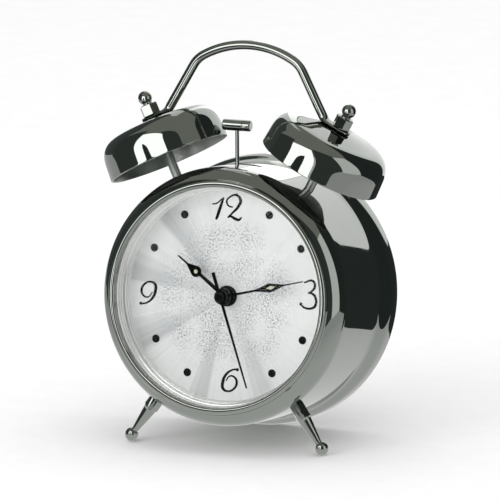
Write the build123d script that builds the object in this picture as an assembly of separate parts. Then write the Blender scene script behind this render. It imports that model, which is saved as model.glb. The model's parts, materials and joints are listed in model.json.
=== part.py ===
from build123d import *
import math
import os

# Twin bell alarm clock: a drum case on two ball feet, leaning back on its rear rim.
# Pieces are drawn in the clock's own frame: x to the right, y to the back, z up, with the y axis
# through the middle of the dial and y = 0 at the front of the bezel's groove. At the end the whole
# clock is leaned back until both feet and the rear rim meet the table, which is z = 0.
# Lengths are millimetres and angles are degrees.

# The drum's radius drives the clock: sizes that belong to its build are written for a drum of the
# photographed radius and grow with it. Fits, sheet thicknesses and tooth counts stand by themselves.
case_radius = 55.3
photographed_radius = 55.3
grow = case_radius / photographed_radius

# Fits
running_clearance = 0.05
clear = 0.1
loose = 0.3

# Case
wall = 0.8
lip_front = 4.0 * grow
shoulder_radius = 9.8 * grow
shoulder_end = 11.0 * grow
flange_hole_radius = case_radius - 6.8 * grow
flare_start = 50.5 * grow
flare_bend = 1.5 * grow
case_back = 63.0 * grow

# Bezel, lens, dial and inner frame
bezel_skirt = 0.8
bezel_opening = flange_hole_radius - 2.5 * grow
bezel_radius = case_radius - 3.0 * grow
bezel_bead_height = 6.3
lens_thickness = 1.8
lens_rise = 4.5
dial_front = 13.2 * grow
dial_thickness = 0.6
dial_margin = 2.9 * grow
frame_plate = 2.0
frame_radius = case_radius - 4.5 * grow
frame_screw_circle = case_radius - 5.0 * grow
frame_screw_radius = 0.7

# Bells, posts and handle
bell_tilt = 26.4
bell_spread = 31.7
bell_lift = 10.17 * grow
bell_y = 26.8 * grow
bell_radius = 27.05 * grow
bell_flare = 0.5
bell_shoulder = 8.3 * grow
bell_height = 18.5 * grow
bell_wall = 0.9
post_radius = 2.05
stud_radius = 1.45
handle_rod = 2.05
handle_rise = 50.6 * grow
handle_leg_rise = 37.6 * grow
handle_leg_share = 0.776
handle_top_share = 1.21
handle_corner = 12.0 * grow
handle_leg_angle = 28.8
tab_thickness = 1.8
tab_width = 7.5
ball_nut_flats = 7.0
ball_nut_height = 4.7
ball_nut_ball = 3.05
ball_nut_neck = 2.0

# Feet
foot_angle = 35.0
foot_y = 17.5 * grow
foot_length = 21.0 * grow
foot_ball = 2.9
foot_hex_flats = 5.8
foot_hex_share = 0.3
foot_neck = 1.35
foot_pad_depth = 0.15
nut_flats = 5.5
nut_height = 2.4

# Hammer and its drive
hammer_pivot_x = -2.6 * grow
hammer_pivot_depth = 15.8 * grow
hammer_head_rise = 16.1 * grow
hammer_head_left = -10.4 * grow
hammer_head_right = 2.3 * grow
hammer_head_radius = 2.4 * grow
hammer_stem_x = -4.05 * grow
hammer_stem_radius = 0.85
hammer_hub_radius = 2.2 * grow
hammer_swing = 15.0
slot_left = -7.2 * grow
slot_right = 7.8 * grow
slot_width = 5.0
pivot_pin_radius = 1.0
crank_drop = 11.0 * grow
crank_radius = 1.4
crank_pin_radius = 0.6
crank_teeth = 40
motor_teeth = 8
motor_radius = 6.0 * grow
motor_length = 16.0 * grow
motor_shaft_radius = 0.5
bracket_plate = 1.5
drive_module = 0.4 * grow

# Hands
second_length = 40.2 * grow
second_tail = 10.9 * grow
minute_length = 37.6 * grow
hour_length = 26.8 * grow
alarm_length = 19.0 * grow
second_angle = 160.3
minute_angle = 76.4
hour_angle = -53.0
hand_thickness = 0.5
diamond_half = 2.0
spade_radius = 2.4
hand_pitch = 2.0 * grow
hub_height = 8.9 * grow

# Movement
movement_half_width = 24.0 * grow
movement_top = 19.5 * grow
movement_bottom = -23.0 * grow
movement_end_room = 1.0 * grow
shell = 1.2
bridge_thickness = 0.8
second_arbor_radius = 0.6
tube_wall = 0.7
bushing_wall = 1.05
pivot_radius = 0.45
going_module = 0.3 * grow
motion_centres = 10.0 * grow
alarm_module = 0.4 * grow
wheel_thickness = 0.8
wheel_gap = 0.8
pinion_thickness = 1.2
set_shaft_radius = 1.2

# Rear cover, knobs, switch and battery box
cover_radius = case_radius + 1.2 * grow
cover_thickness = 1.6
cover_recess = 1.6
cover_skirt = 1.2
knob_radius = 5.5 * grow
knob_length = 7.0
knob_gap = 0.6
knob_ribs = 24
spacer_circle = case_radius - 9.3 * grow
spacer_radius = 2.4
screw_radius = 0.95
switch_z = 22.0 * grow
switch_travel = 5.0
switch_thumb = 1.6
switch_half_width = 13.0 * grow
switch_height = 9.0
switch_depth = 5.0
battery_radius = 7.2 * grow
battery_length = 50.6 * grow
battery_z = -25.0 * grow
battery_gap = 0.8
battery_wall = 1.4
door_gap = 0.3
trunnion_radius = 0.45
trunnion_length = 1.2
sound_holes = 9
sound_circle = 40.0 * grow
sound_step = 8.0
sound_hole_radius = 1.5


# Small helpers for turned, flat and drilled shapes
def face_at(y):
    """A sketch plane across the drum at depth y, seen from the front with x right and z up."""
    return Plane(origin=(0, y, 0), x_dir=(1, 0, 0), z_dir=(0, -1, 0))


def plate(sketch, front, back):
    """Thicken a front-view sketch between two depths."""
    return extrude(face_at(back) * sketch, amount=back - front)


def disc(radius, front, back, x=0.0, z=0.0):
    """A round bar along the depth."""
    return plate(Pos(x, z) * Circle(radius), front, back)


def ring(outer, inner, front, back, x=0.0, z=0.0):
    """A round tube along the depth."""
    return plate(Pos(x, z) * (Circle(outer) - Circle(inner)), front, back)


def block(x0, x1, y0, y1, z0, z1):
    """A box between two corners."""
    corner = (Align.MIN, Align.MIN, Align.MIN)
    return Pos(x0, y0, z0) * Box(x1 - x0, y1 - y0, z1 - z0, align=corner)


def turned(*edges):
    """Turn a closed outline of radius and depth about the dial's axis."""
    return revolve(make_face(list(edges)), axis=Axis.Y)


def turned_points(*points):
    """Turn a closed outline with straight sides about the dial's axis."""
    return revolve(make_face(Polyline(*points, close=True)), axis=Axis.Y)


def rod(radius, start, end):
    """A round bar between two points."""
    path = Vector(*end) - Vector(*start)
    place = Plane(origin=start, z_dir=path)
    return extrude(place * Circle(radius), amount=path.length)


def upright(radius, low, high):
    """A round bar along local z."""
    return Pos(0, 0, low) * Cylinder(radius, high - low, align=(Align.CENTER, Align.CENTER, Align.MIN))


def hex_bar(flats, low, high):
    """A six-sided bar along local z."""
    return extrude(Pos(0, 0, low) * RegularPolygon(flats / 2, 6, major_radius=False), amount=high - low)


def polar(radius, angle):
    """Front-view point at an angle counted from +x towards +z."""
    return radius * math.cos(math.radians(angle)), radius * math.sin(math.radians(angle))


def clockwise(radius, angle):
    """Front-view point at an angle counted clockwise from 12 o'clock."""
    return polar(radius, 90 - angle)


# Toothed wheels: slim straight-sided teeth that leave play at the pitch line
tooth_play = 0.82
tooth_tip = 0.40
tooth_root = 1.30
addendum = 0.80
dedendum = 1.20


def gear(teeth, module, phase, front, back, x=0.0, z=0.0):
    """A toothed wheel with one tooth centred at the phase angle."""
    pitch = module * teeth / 2
    tip = pitch + addendum * module
    root = pitch - dedendum * module
    half = 90 / teeth * tooth_play
    points = []
    for tooth in range(teeth):
        middle = phase + 360 * tooth / teeth
        for radius, share in ((root, -tooth_root), (tip, -tooth_tip), (tip, tooth_tip), (root, tooth_root)):
            points.append(polar(radius, middle + half * share))
    return plate(Pos(x, z) * Polygon(*points, align=None), front, back)


def mesh_phase(line, teeth, phase, next_teeth):
    """Phase of the next wheel so that its gap faces the first wheel's tooth on the line of centres."""
    offset = (phase - line) * teeth / 360
    return line + 180 + (0.5 - offset) * 360 / next_teeth


# Depths and radii that several pieces share
bezel_skirt_outer = flange_hole_radius - clear
bezel_pocket = bezel_skirt_outer - bezel_skirt
lens_radius = bezel_pocket - 2 * clear
dial_opening = lens_radius - dial_margin
lip_radius = case_radius - dial_margin
bell_centre = case_radius + bell_lift
bell_x = bell_centre * math.sin(math.radians(bell_spread))
bell_z = bell_centre * math.cos(math.radians(bell_spread))
bell_skirt = bell_height - bell_shoulder - 1.7
handle_top = bell_z + handle_rise
handle_top_radius = handle_top_share * bell_x
handle_leg_x = handle_leg_share * bell_x
handle_leg_z = bell_z + handle_leg_rise
tab_length = ball_nut_flats / 2 + 1.1
foot_reach = case_radius + foot_length
foot_hex_length = foot_hex_share * foot_length
hammer_pivot_z = case_radius - hammer_pivot_depth
hammer_head_z = bell_z + hammer_head_rise
hub_front = dial_front - hub_height
battery_pitch = 2 * battery_radius + battery_gap
dial_back = dial_front + dial_thickness
frame_back = dial_back + frame_plate
lip_back = lip_front + wall
inner_radius = case_radius - wall
rim_radius = case_radius + 2 * flare_bend
shoulder_centre = case_radius - shoulder_radius
flare_end = flare_start + 2 * flare_bend
hem_start = case_back - flare_bend
cover_back = case_back - cover_recess
cover_front = cover_back - cover_thickness
case_solid = disc(case_radius, 0, case_back)
case_room = disc(inner_radius, 0, case_back)

# Bell frames: local z runs up each post from the middle of the bell's rim
bell_places = {
    "left": Pos(-bell_x, bell_y, bell_z) * Rot(0, -bell_tilt, 0),
    "right": Pos(bell_x, bell_y, bell_z) * Rot(0, bell_tilt, 0),
}
foot_places = {
    "left": Pos(0, foot_y, 0) * Rot(0, foot_angle - 180, 0),
    "right": Pos(0, foot_y, 0) * Rot(0, 180 - foot_angle, 0),
}
bell_slope = math.radians(bell_tilt)
wall_depth = (bell_x * math.sin(bell_slope) + bell_z * math.cos(bell_slope)) - math.sqrt(
    case_radius**2 - (bell_x * math.cos(bell_slope) - bell_z * math.sin(bell_slope)) ** 2
)


def shoulder_point(radius, angle):
    """Point on the case's front shoulder, at an angle back from straight outwards."""
    slope = math.radians(angle)
    return shoulder_centre + radius * math.cos(slope), shoulder_end - radius * math.sin(slope)


def make_case_drum():
    """Drawn steel drum with a rounded front shoulder, a flared rear rim and its holes."""
    outer = shoulder_radius
    inner = shoulder_radius - wall
    outer_turn = math.degrees(math.asin((shoulder_end - lip_front) / outer))
    inner_turn = math.degrees(math.asin((shoulder_end - lip_back) / inner))
    bend = flare_bend
    throat = rim_radius - bend
    diagonal = math.sqrt(0.5)
    front_corner = shoulder_point(outer, outer_turn)
    inner_corner = shoulder_point(inner, inner_turn)
    thin = bend - wall
    wide = bend + wall
    shell_solid = turned(
        Line((flange_hole_radius, lip_front), front_corner),
        ThreePointArc(front_corner, shoulder_point(outer, outer_turn / 2), (case_radius, shoulder_end)),
        Line((case_radius, shoulder_end), (case_radius, flare_start)),
        ThreePointArc(
            (case_radius, flare_start),
            (throat - bend * diagonal, flare_start + bend * diagonal),
            (throat, flare_start + bend),
        ),
        ThreePointArc(
            (throat, flare_start + bend),
            (throat + bend * diagonal, flare_end - bend * diagonal),
            (rim_radius, flare_end),
        ),
        Line((rim_radius, flare_end), (rim_radius, hem_start)),
        ThreePointArc(
            (rim_radius, hem_start),
            (throat + bend * diagonal, hem_start + bend * diagonal),
            (throat, case_back),
        ),
        Line((throat, case_back), (throat, case_back - wall)),
        ThreePointArc(
            (throat, case_back - wall),
            (throat + thin * diagonal, hem_start + thin * diagonal),
            (rim_radius - wall, hem_start),
        ),
        Line((rim_radius - wall, hem_start), (rim_radius - wall, flare_end)),
        ThreePointArc(
            (rim_radius - wall, flare_end),
            (throat + thin * diagonal, flare_end - thin * diagonal),
            (throat, flare_end - thin),
        ),
        ThreePointArc(
            (throat, flare_end - thin),
            (throat - wide * diagonal, flare_start + wide * diagonal),
            (inner_radius, flare_start),
        ),
        Line((inner_radius, flare_start), (inner_radius, shoulder_end)),
        ThreePointArc((inner_radius, shoulder_end), shoulder_point(inner, inner_turn / 2), inner_corner),
        Line(inner_corner, (flange_hole_radius, lip_back)),
        Line((flange_hole_radius, lip_back), (flange_hole_radius, lip_front)),
    )
    slot_middle = (slot_left + slot_right) / 2
    slot = Pos(slot_middle, bell_y, 0) * SlotOverall(slot_right - slot_left, slot_width)
    shell_solid -= extrude(slot, amount=case_radius + wall)
    for side in ("left", "right"):
        shell_solid -= bell_places[side] * upright(stud_radius + clear, -wall_depth - 10, -wall_depth + 5)
        shell_solid -= foot_places[side] * upright(stud_radius + clear, inner_radius - 5, case_radius + 5)
    for angle in frame_screw_angles:
        x, z = polar(frame_screw_circle, angle)
        shell_solid -= disc(frame_screw_radius + clear, lip_front - 1, lip_back + 1, x, z)
    return shell_solid


frame_screw_angles = (45, 135, 225, 315)
frame_screw_head = 1.25
frame_screw_head_height = 1.1
frame_screw_length = 6.0
bezel_skirt_back = lip_back + 1.2
snap_bead = 0.4
lens_seat = lip_front - lens_thickness - loose


def make_bezel_ring():
    """Snap-on front ring: a full bead, a fine groove, a small bead, and a hollow back."""
    bead_top = lens_seat + 3.4 - bezel_bead_height
    bead_edge = bezel_opening + 3.9
    groove = lens_seat - 0.6
    inner_edge = lens_seat - 1.3
    channel_in = flange_hole_radius + 0.4
    channel_out = bezel_radius - 0.6
    channel_front = lip_front - frame_screw_head_height - loose
    fine_top = lip_front - 1.1
    snap_outer = bezel_skirt_outer + snap_bead
    snap_back = bezel_skirt_back - snap_bead
    snap_front = lip_back + clear
    bead_middle = (bezel_opening + bead_edge) / 2
    return turned(
        Line((bezel_opening, inner_edge), (bezel_opening, lens_seat)),
        Line((bezel_opening, lens_seat), (bezel_pocket, lens_seat)),
        Line((bezel_pocket, lens_seat), (bezel_pocket, bezel_skirt_back)),
        Line((bezel_pocket, bezel_skirt_back), (bezel_skirt_outer, bezel_skirt_back)),
        Line((bezel_skirt_outer, bezel_skirt_back), (snap_outer, snap_back)),
        Line((snap_outer, snap_back), (snap_outer, snap_front)),
        Line((snap_outer, snap_front), (bezel_skirt_outer, snap_front)),
        Line((bezel_skirt_outer, snap_front), (bezel_skirt_outer, lip_front)),
        Line((bezel_skirt_outer, lip_front), (channel_in, lip_front)),
        Line((channel_in, lip_front), (channel_in, channel_front)),
        Line((channel_in, channel_front), (channel_out, channel_front)),
        Line((channel_out, channel_front), (channel_out, lip_front)),
        Line((channel_out, lip_front), (bezel_radius, lip_front)),
        Line((bezel_radius, lip_front), (bezel_radius, fine_top)),
        ThreePointArc(
            (bezel_radius, fine_top),
            (bezel_radius - 0.6, fine_top - 1.35),
            (bead_edge + 0.4, groove),
        ),
        Line((bead_edge + 0.4, groove), (bead_edge, groove)),
        ThreePointArc((bead_edge, groove), (bead_middle, bead_top), (bezel_opening, inner_edge)),
    )


def dome_depth(radius, rim, rise):
    """How far a shallow dome falls from its top at a radius."""
    sphere = (rim**2 + rise**2) / (2 * rise)
    return sphere - math.sqrt(sphere**2 - radius**2)


def make_lens():
    """Domed clear lens with a flat rim."""
    rim = bezel_opening - clear
    half = rim / 2
    front = lens_seat + clear
    back = front + lens_thickness
    top = front - lens_rise
    bulge = dome_depth(half, rim, lens_rise)
    return turned(
        Line((0, top), (0, top + lens_thickness)),
        ThreePointArc((0, top + lens_thickness), (half, top + lens_thickness + bulge), (rim, back)),
        Line((rim, back), (lens_radius, back)),
        Line((lens_radius, back), (lens_radius, front)),
        Line((lens_radius, front), (rim, front)),
        ThreePointArc((rim, front), (half, top + bulge), (0, top)),
    )


def make_dial_ring():
    """Silvery ring in two steps between the lens and the dial."""
    front = lens_seat + clear + lens_thickness
    step = (front + dial_front) / 2
    return turned_points(
        (lens_radius, front),
        (dial_opening + 1.7, front),
        (dial_opening + 1.0, step),
        (dial_opening + 0.5, step),
        (dial_opening, dial_front),
        (lens_radius, dial_front),
    )


def make_dial():
    """Thin round dial plate with a hole for the hands' bushing."""
    return ring(lens_radius, bushing_radius + clear, dial_front, dial_back)


def make_inner_frame():
    """Moulded cup behind the case's front flange that carries the dial, movement and hammer drive."""
    cup = turned_points(
        (bezel_skirt_outer + snap_bead + loose, lip_back),
        (frame_radius, lip_back),
        (frame_radius, frame_back),
        (0, frame_back),
        (0, dial_back),
        (lens_radius + clear, dial_back),
        (lens_radius + clear, bezel_skirt_back + loose),
        (bezel_skirt_outer + snap_bead + loose, bezel_skirt_back + loose),
    )
    lug_room = turned_points(
        (bezel_skirt_outer + snap_bead + loose, lip_back),
        (lip_radius - 0.6, lip_back),
        (inner_radius - 1.2, lip_back + 2.2),
        (inner_radius - 0.4, shoulder_end - 1),
        (inner_radius - 0.4, dial_back),
        (bezel_skirt_outer + snap_bead + loose, dial_back),
    )
    for angle in frame_screw_angles:
        x, z = polar(frame_screw_circle, angle)
        cup += disc(2.3, lip_back, dial_back, x, z) & lug_room
    for angle in frame_screw_angles:
        x, z = polar(frame_screw_circle, angle)
        cup -= disc(frame_screw_radius, lip_back - 1, lip_back + frame_screw_length, x, z)
    for x, z in spacer_points:
        cup -= disc(spacer_radius / 2, frame_back - frame_plate / 2, frame_back + 1, x, z)
    for x, z in bracket_screw_points:
        cup -= disc(frame_screw_radius, dial_back - 1, frame_back + 1, x, z)
    cup -= disc(bushing_radius + clear, dial_back - 1, frame_back + 1)
    return cup


def make_frame_screws():
    """Four small screws under the bezel that hold the inner frame to the case's flange."""
    screws = []
    for angle in frame_screw_angles:
        x, z = polar(frame_screw_circle, angle)
        head = disc(frame_screw_head, lip_front - frame_screw_head_height, lip_front, x, z)
        screws.append(head + disc(frame_screw_radius, lip_front, lip_back + frame_screw_length - 1, x, z))
    return screws


# Bells: rim, flared skirt, round shoulder, shallow crown
def bell_outline(inset):
    """Edges of one face of the bell wall, from rim to crown, inset by the wall for the inner face."""
    rim = (bell_radius - inset, 0)
    skirt_top = (bell_radius - bell_flare - inset, bell_skirt)
    corner = bell_shoulder - inset
    crown_edge = (bell_radius - bell_flare - bell_shoulder, bell_skirt + corner)
    middle = (
        crown_edge[0] + corner * math.sqrt(0.5),
        bell_skirt + corner * math.sqrt(0.5),
    )
    top = (stud_radius + clear, bell_height - inset)
    return rim, skirt_top, middle, crown_edge, top


def crown_middle(edge, top):
    """A point that bows the crown a little above the straight line from shoulder to top."""
    return (edge[0] + top[0]) / 2, edge[1] + (top[1] - edge[1]) * 0.75


def make_bell():
    """A pressed bell with a hole for its stud, rim down."""
    rim, skirt, middle, edge, top = bell_outline(0)
    rim_in, skirt_in, middle_in, edge_in, top_in = bell_outline(bell_wall)
    outline = [
        Line(rim, skirt),
        ThreePointArc(skirt, middle, edge),
        ThreePointArc(edge, crown_middle(edge, top), top),
        Line(top, top_in),
        ThreePointArc(top_in, crown_middle(edge_in, top_in), edge_in),
        ThreePointArc(edge_in, middle_in, skirt_in),
        Line(skirt_in, rim_in),
        Line(rim_in, rim),
    ]
    section = Plane.XZ * make_face(outline)
    return revolve(section, axis=Axis.Z)


def make_post(side):
    """Post from the case to the bell, with a thread at each end."""
    top = bell_height - bell_wall - clear
    nut_top = bell_height + tab_thickness + ball_nut_height
    bar = upright(post_radius, -wall_depth - 5, top)
    bar = bell_places[side] * bar - case_solid
    inside = upright(stud_radius, -wall_depth - nut_height - wall - 3, 0)
    return bar + bell_places[side] * (inside + upright(stud_radius, top, nut_top))


def make_post_nuts():
    """Nuts inside the case on the posts' lower threads."""
    nuts = []
    for side in ("left", "right"):
        nut = hex_bar(nut_flats, -wall_depth - wall - nut_height - 0.6, -wall_depth + 2)
        nut -= upright(stud_radius, -wall_depth - 20, -wall_depth + 20)
        nuts.append(bell_places[side] * nut & case_room)
    return nuts


def make_ball_nut():
    """Cap nut: a hexagon, a neck and a ball on top."""
    base = bell_height + tab_thickness
    top = base + ball_nut_height
    ball_z = top + ball_nut_ball
    nut = hex_bar(ball_nut_flats, base, top)
    nut = chamfer(nut.edges().group_by(Axis.Z)[-1], 0.35)
    nut += upright(ball_nut_neck, top - 1, ball_z)
    nut += Pos(0, 0, ball_z) * Sphere(ball_nut_ball)
    return nut - upright(stud_radius, base - 1, top + clear)


def handle_points():
    """Front-view points of the handle's right half, from the top down to the flattened end."""
    slope = math.radians(handle_leg_angle)
    down = (math.sin(slope), -math.cos(slope))
    inward = (-math.cos(slope), -math.sin(slope))
    start = (handle_leg_x + handle_corner * inward[0], handle_leg_z + handle_corner * inward[1])
    arc_z = handle_top - handle_top_radius
    reach = handle_top_radius - handle_corner
    along = start[0] * down[0] + (start[1] - arc_z) * down[1]
    gap = start[0] ** 2 + (start[1] - arc_z) ** 2 - reach**2
    slide = -along - math.sqrt(along**2 - gap)
    centre = (start[0] + slide * down[0], start[1] + slide * down[1])
    leg_top = (centre[0] - handle_corner * inward[0], centre[1] - handle_corner * inward[1])
    scale = handle_top_radius / reach
    arc_end = (centre[0] * scale, arc_z + (centre[1] - arc_z) * scale)
    turn = math.atan2(arc_end[1] - centre[1], arc_end[0] - centre[0])
    turn = (turn + math.atan2(leg_top[1] - centre[1], leg_top[0] - centre[0])) / 2
    corner = (centre[0] + handle_corner * math.cos(turn), centre[1] + handle_corner * math.sin(turn))
    tab_height = bell_height + tab_thickness / 2
    seat = (bell_x + tab_height * math.sin(bell_slope), bell_z + tab_height * math.cos(bell_slope))
    flat = (math.cos(bell_slope), -math.sin(bell_slope))
    side = (leg_top[0] - seat[0]) * down[1] - (leg_top[1] - seat[1]) * down[0]
    reach_in = side / (flat[0] * down[1] - flat[1] * down[0])
    bend = (seat[0] + reach_in * flat[0], seat[1] + reach_in * flat[1])
    return leg_top, corner, arc_end, bend, seat, flat, down


def make_handle():
    """Round rod bent to an arch, with both ends flattened and drilled for the bell studs."""
    leg_top, corner, arc_end, bend, seat, flat, down = handle_points()
    blend = 3.6
    leg_end = (bend[0] - blend * down[0], bend[1] - blend * down[1])

    def at(point, mirror=1):
        return mirror * point[0], bell_y, point[1]

    path = Wire(
        [
            Line(at(leg_end, -1), at(leg_top, -1)),
            ThreePointArc(at(leg_top, -1), at(corner, -1), at(arc_end, -1)),
            ThreePointArc(at(arc_end, -1), (0, bell_y, handle_top), at(arc_end)),
            ThreePointArc(at(arc_end), at(corner), at(leg_top)),
            Line(at(leg_top), at(leg_end)),
        ]
    )
    start = Plane(origin=at(leg_end, -1), z_dir=(down[0], 0, -down[1]))
    arch = sweep(start * Circle(handle_rod), path=path)
    for mirror in (-1, 1):
        rod_end = Plane(origin=at(leg_end, mirror), x_dir=(0, 1, 0), z_dir=(mirror * down[0], 0, down[1]))
        tab_in = (bend[0] + 1.6 * flat[0], bend[1] + 1.6 * flat[1])
        tab_plane = Plane(origin=at(tab_in, mirror), x_dir=(0, 1, 0), z_dir=(mirror * flat[0], 0, flat[1]))
        wide = Ellipse(tab_width / 2, tab_thickness / 2)
        arch += loft([rod_end * Circle(handle_rod), tab_plane * wide])
        flat_plane = Plane(
            origin=at(seat, mirror),
            x_dir=(mirror * flat[0], 0, flat[1]),
            z_dir=(math.sin(bell_slope) * mirror, 0, math.cos(bell_slope)),
        )
        run = math.hypot(seat[0] - bend[0], seat[1] - bend[1]) - 1.2
        tab = Pos((tab_length - run) / 2, 0) * RectangleRounded(tab_length + run, tab_width, 1.5)
        tab -= Circle(stud_radius + clear)
        arch += extrude(flat_plane * tab, amount=tab_thickness / 2, both=True)
        stem = extrude(flat_plane * Circle(stud_radius + clear), amount=tab_thickness * 2, both=True)
        arch -= stem
    return arch


def make_foot(side):
    """Foot: a hexagon against the case, a long cone, a ball and a thread through the case wall."""
    hex_end = case_radius + foot_hex_length
    cone_end = foot_reach - foot_ball * 0.8
    collar = foot_places[side] * hex_bar(foot_hex_flats, case_radius - 3, hex_end) - case_solid
    slim = foot_hex_flats / 2
    cone = Pos(0, 0, (hex_end + cone_end) / 2) * Cone(slim, foot_neck, cone_end - hex_end)
    tip = Pos(0, 0, foot_reach) * Sphere(foot_ball)
    thread = upright(stud_radius, inner_radius - nut_height - 1.2, case_radius + 1)
    return collar + foot_places[side] * (cone + tip) + foot_places[side] * thread


def make_foot_nuts():
    """Nuts inside the case on the feet's threads."""
    nuts = []
    for side in ("left", "right"):
        nut = hex_bar(nut_flats, inner_radius - nut_height - 0.4, inner_radius + 2)
        nut -= upright(stud_radius, inner_radius - 20, inner_radius + 20)
        nuts.append(foot_places[side] * nut & case_room)
    return nuts


# Movement layout, front view
minute_in = second_arbor_radius + running_clearance
minute_out = minute_in + tube_wall
hour_in = minute_out + running_clearance
hour_out = hour_in + tube_wall
alarm_in = hour_out + running_clearance
alarm_out = alarm_in + tube_wall
bushing_in = alarm_out + running_clearance
bushing_radius = bushing_in + bushing_wall
bushing_front = dial_front - 0.9

front_plate_back = frame_back + shell
alarm_wheel_front = front_plate_back + wheel_gap
hour_wheel_front = alarm_wheel_front + wheel_thickness + wheel_gap
motion_wheel_front = hour_wheel_front + wheel_thickness + wheel_gap
bridge_front = motion_wheel_front + wheel_thickness + wheel_gap
bridge_back = bridge_front + bridge_thickness
centre_wheel_front = bridge_back + wheel_gap
third_wheel_front = centre_wheel_front + wheel_thickness + wheel_gap
second_wheel_front = third_wheel_front + wheel_thickness + wheel_gap
fourth_wheel_front = second_wheel_front + wheel_thickness + wheel_gap
back_plate_front = fourth_wheel_front + wheel_thickness + movement_end_room
movement_back = back_plate_front + shell
pinion_over = (pinion_thickness - wheel_thickness) / 2

small_teeth = 8
third_teeth = 60
centre_teeth = 64
second_teeth = 60
fourth_teeth = 40
rotor_teeth = 10
cannon_teeth = 12
motion_teeth = 36
motion_pinion_teeth = 10
hour_teeth = 40
time_teeth = 12
alarm_teeth = 44
alarm_set_teeth = 21

going_centres = going_module * (small_teeth + third_teeth) / 2
centre_module = 2 * going_centres / (small_teeth + centre_teeth)
cannon_module = 2 * motion_centres / (cannon_teeth + motion_teeth)
hour_module = 2 * motion_centres / (motion_pinion_teeth + hour_teeth)
rotor_centres = going_module * (rotor_teeth + fourth_teeth) / 2
alarm_centres = alarm_module * (alarm_teeth + alarm_set_teeth) / 2

third_line = 270
fourth_line = 120
rotor_line = 150
third_at = polar(going_centres, third_line)
fourth_at = polar(going_centres, fourth_line)
rotor_step = polar(rotor_centres, rotor_line)
rotor_at = (fourth_at[0] + rotor_step[0], fourth_at[1] + rotor_step[1])
time_at = (alarm_centres, 0.0)
motion_line = -math.degrees(math.acos(alarm_centres / 2 / motion_centres))
motion_at = polar(motion_centres, motion_line)
time_line = -motion_line
alarm_set_line = 180
alarm_set_at = polar(alarm_centres, alarm_set_line)

second_pinion_phase = 0
third_phase = mesh_phase(third_line, small_teeth, second_pinion_phase, third_teeth)
third_pinion_phase = 0
centre_phase = mesh_phase(third_line + 180, small_teeth, third_pinion_phase, centre_teeth)
second_phase = 0
fourth_pinion_phase = mesh_phase(fourth_line, second_teeth, second_phase, small_teeth)
fourth_phase = 0
rotor_phase = mesh_phase(rotor_line, fourth_teeth, fourth_phase, rotor_teeth)
cannon_phase = 0
motion_phase = mesh_phase(motion_line, cannon_teeth, cannon_phase, motion_teeth)
hour_phase = 0
motion_pinion_phase = mesh_phase(motion_line, hour_teeth, hour_phase, motion_pinion_teeth)
time_phase = mesh_phase(time_line, motion_teeth, motion_phase, time_teeth)
alarm_phase = 0
alarm_set_phase = mesh_phase(alarm_set_line, alarm_teeth, alarm_phase, alarm_set_teeth)

arbor_holes = (third_at, fourth_at, rotor_at)
set_holes = (time_at, alarm_set_at)
movement_screw_points = [
    (x, z)
    for x in (-movement_half_width + 3.2, movement_half_width - 3.2)
    for z in (movement_bottom + 3.2, movement_top - 3.2)
]
movement_split = bridge_back
pillar_radius = 2.0


def movement_outline():
    """Front view of the movement's box."""
    middle = (movement_top + movement_bottom) / 2
    return Pos(0, middle) * RectangleRounded(2 * movement_half_width, movement_top - movement_bottom, 3)


def movement_inside():
    """Front view of the space inside the movement's walls."""
    middle = (movement_top + movement_bottom) / 2
    width = 2 * (movement_half_width - shell)
    return Pos(0, middle) * RectangleRounded(width, movement_top - movement_bottom - 2 * shell, 2)


def make_movement_front():
    """Front half of the movement's case with the bushing that passes through the dial."""
    body = plate(movement_outline(), frame_back, movement_split)
    body -= plate(movement_inside(), front_plate_back, movement_split + 1)
    body += disc(bushing_radius, bushing_front, frame_back)
    for x, z in movement_screw_points:
        body += disc(pillar_radius, front_plate_back, bridge_front, x, z)
    body -= disc(bushing_in, bushing_front - 1, front_plate_back + 1)
    for x, z in movement_screw_points:
        body -= disc(frame_screw_radius, bridge_front - 3, bridge_front + 1, x, z)
    body -= disc(pivot_radius + running_clearance, frame_back, front_plate_back + 1, *motion_at)
    for x, z in set_holes:
        body -= disc(pivot_radius + running_clearance, frame_back, front_plate_back + 1, x, z)
    return body


def make_movement_rear():
    """Rear half of the movement's case."""
    body = plate(movement_outline(), movement_split, movement_back)
    body -= plate(movement_inside(), movement_split - 1, back_plate_front)
    for x, z in movement_screw_points:
        body += disc(pillar_radius, bridge_back, back_plate_front, x, z)
        body -= disc(screw_radius, bridge_back - 1, movement_back + 1, x, z)
    for x, z in arbor_holes:
        body -= disc(pivot_radius + running_clearance, back_plate_front - 1, movement_back, x, z)
    body -= disc(second_arbor_radius + running_clearance, back_plate_front - 1, movement_back)
    for x, z in set_holes:
        body -= disc(set_shaft_radius + running_clearance, back_plate_front - 1, movement_back + 1, x, z)
    return body


def make_bridge_plate():
    """Plate between the two halves that carries the inner ends of the arbors."""
    body = plate(movement_inside(), bridge_front, bridge_back)
    body -= disc(minute_out + running_clearance, bridge_front - 1, bridge_back + 1)
    for x, z in arbor_holes + (motion_at,):
        body -= disc(pivot_radius + running_clearance, bridge_front - 1, bridge_back + 1, x, z)
    for x, z in set_holes:
        body -= disc(set_shaft_radius + running_clearance, bridge_front - 1, bridge_back + 1, x, z)
    for x, z in movement_screw_points:
        body -= disc(screw_radius, bridge_front - 1, bridge_back + 1, x, z)
    return body


def make_movement_screws():
    """Four screws that clamp the movement's halves and the bridge plate."""
    screws = []
    for x, z in movement_screw_points:
        head = disc(2 * screw_radius, movement_back, movement_back + 1.1, x, z)
        shank = disc(screw_radius, bridge_front, movement_back, x, z)
        screws.append(head + shank + disc(frame_screw_radius, bridge_front - 2.5, bridge_front, x, z))
    return screws


def make_centre_nut():
    """Round nut on the bushing that holds the movement to the dial."""
    return ring(bushing_radius + 1.7, bushing_radius, bushing_front + 0.1, dial_front)


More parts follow.
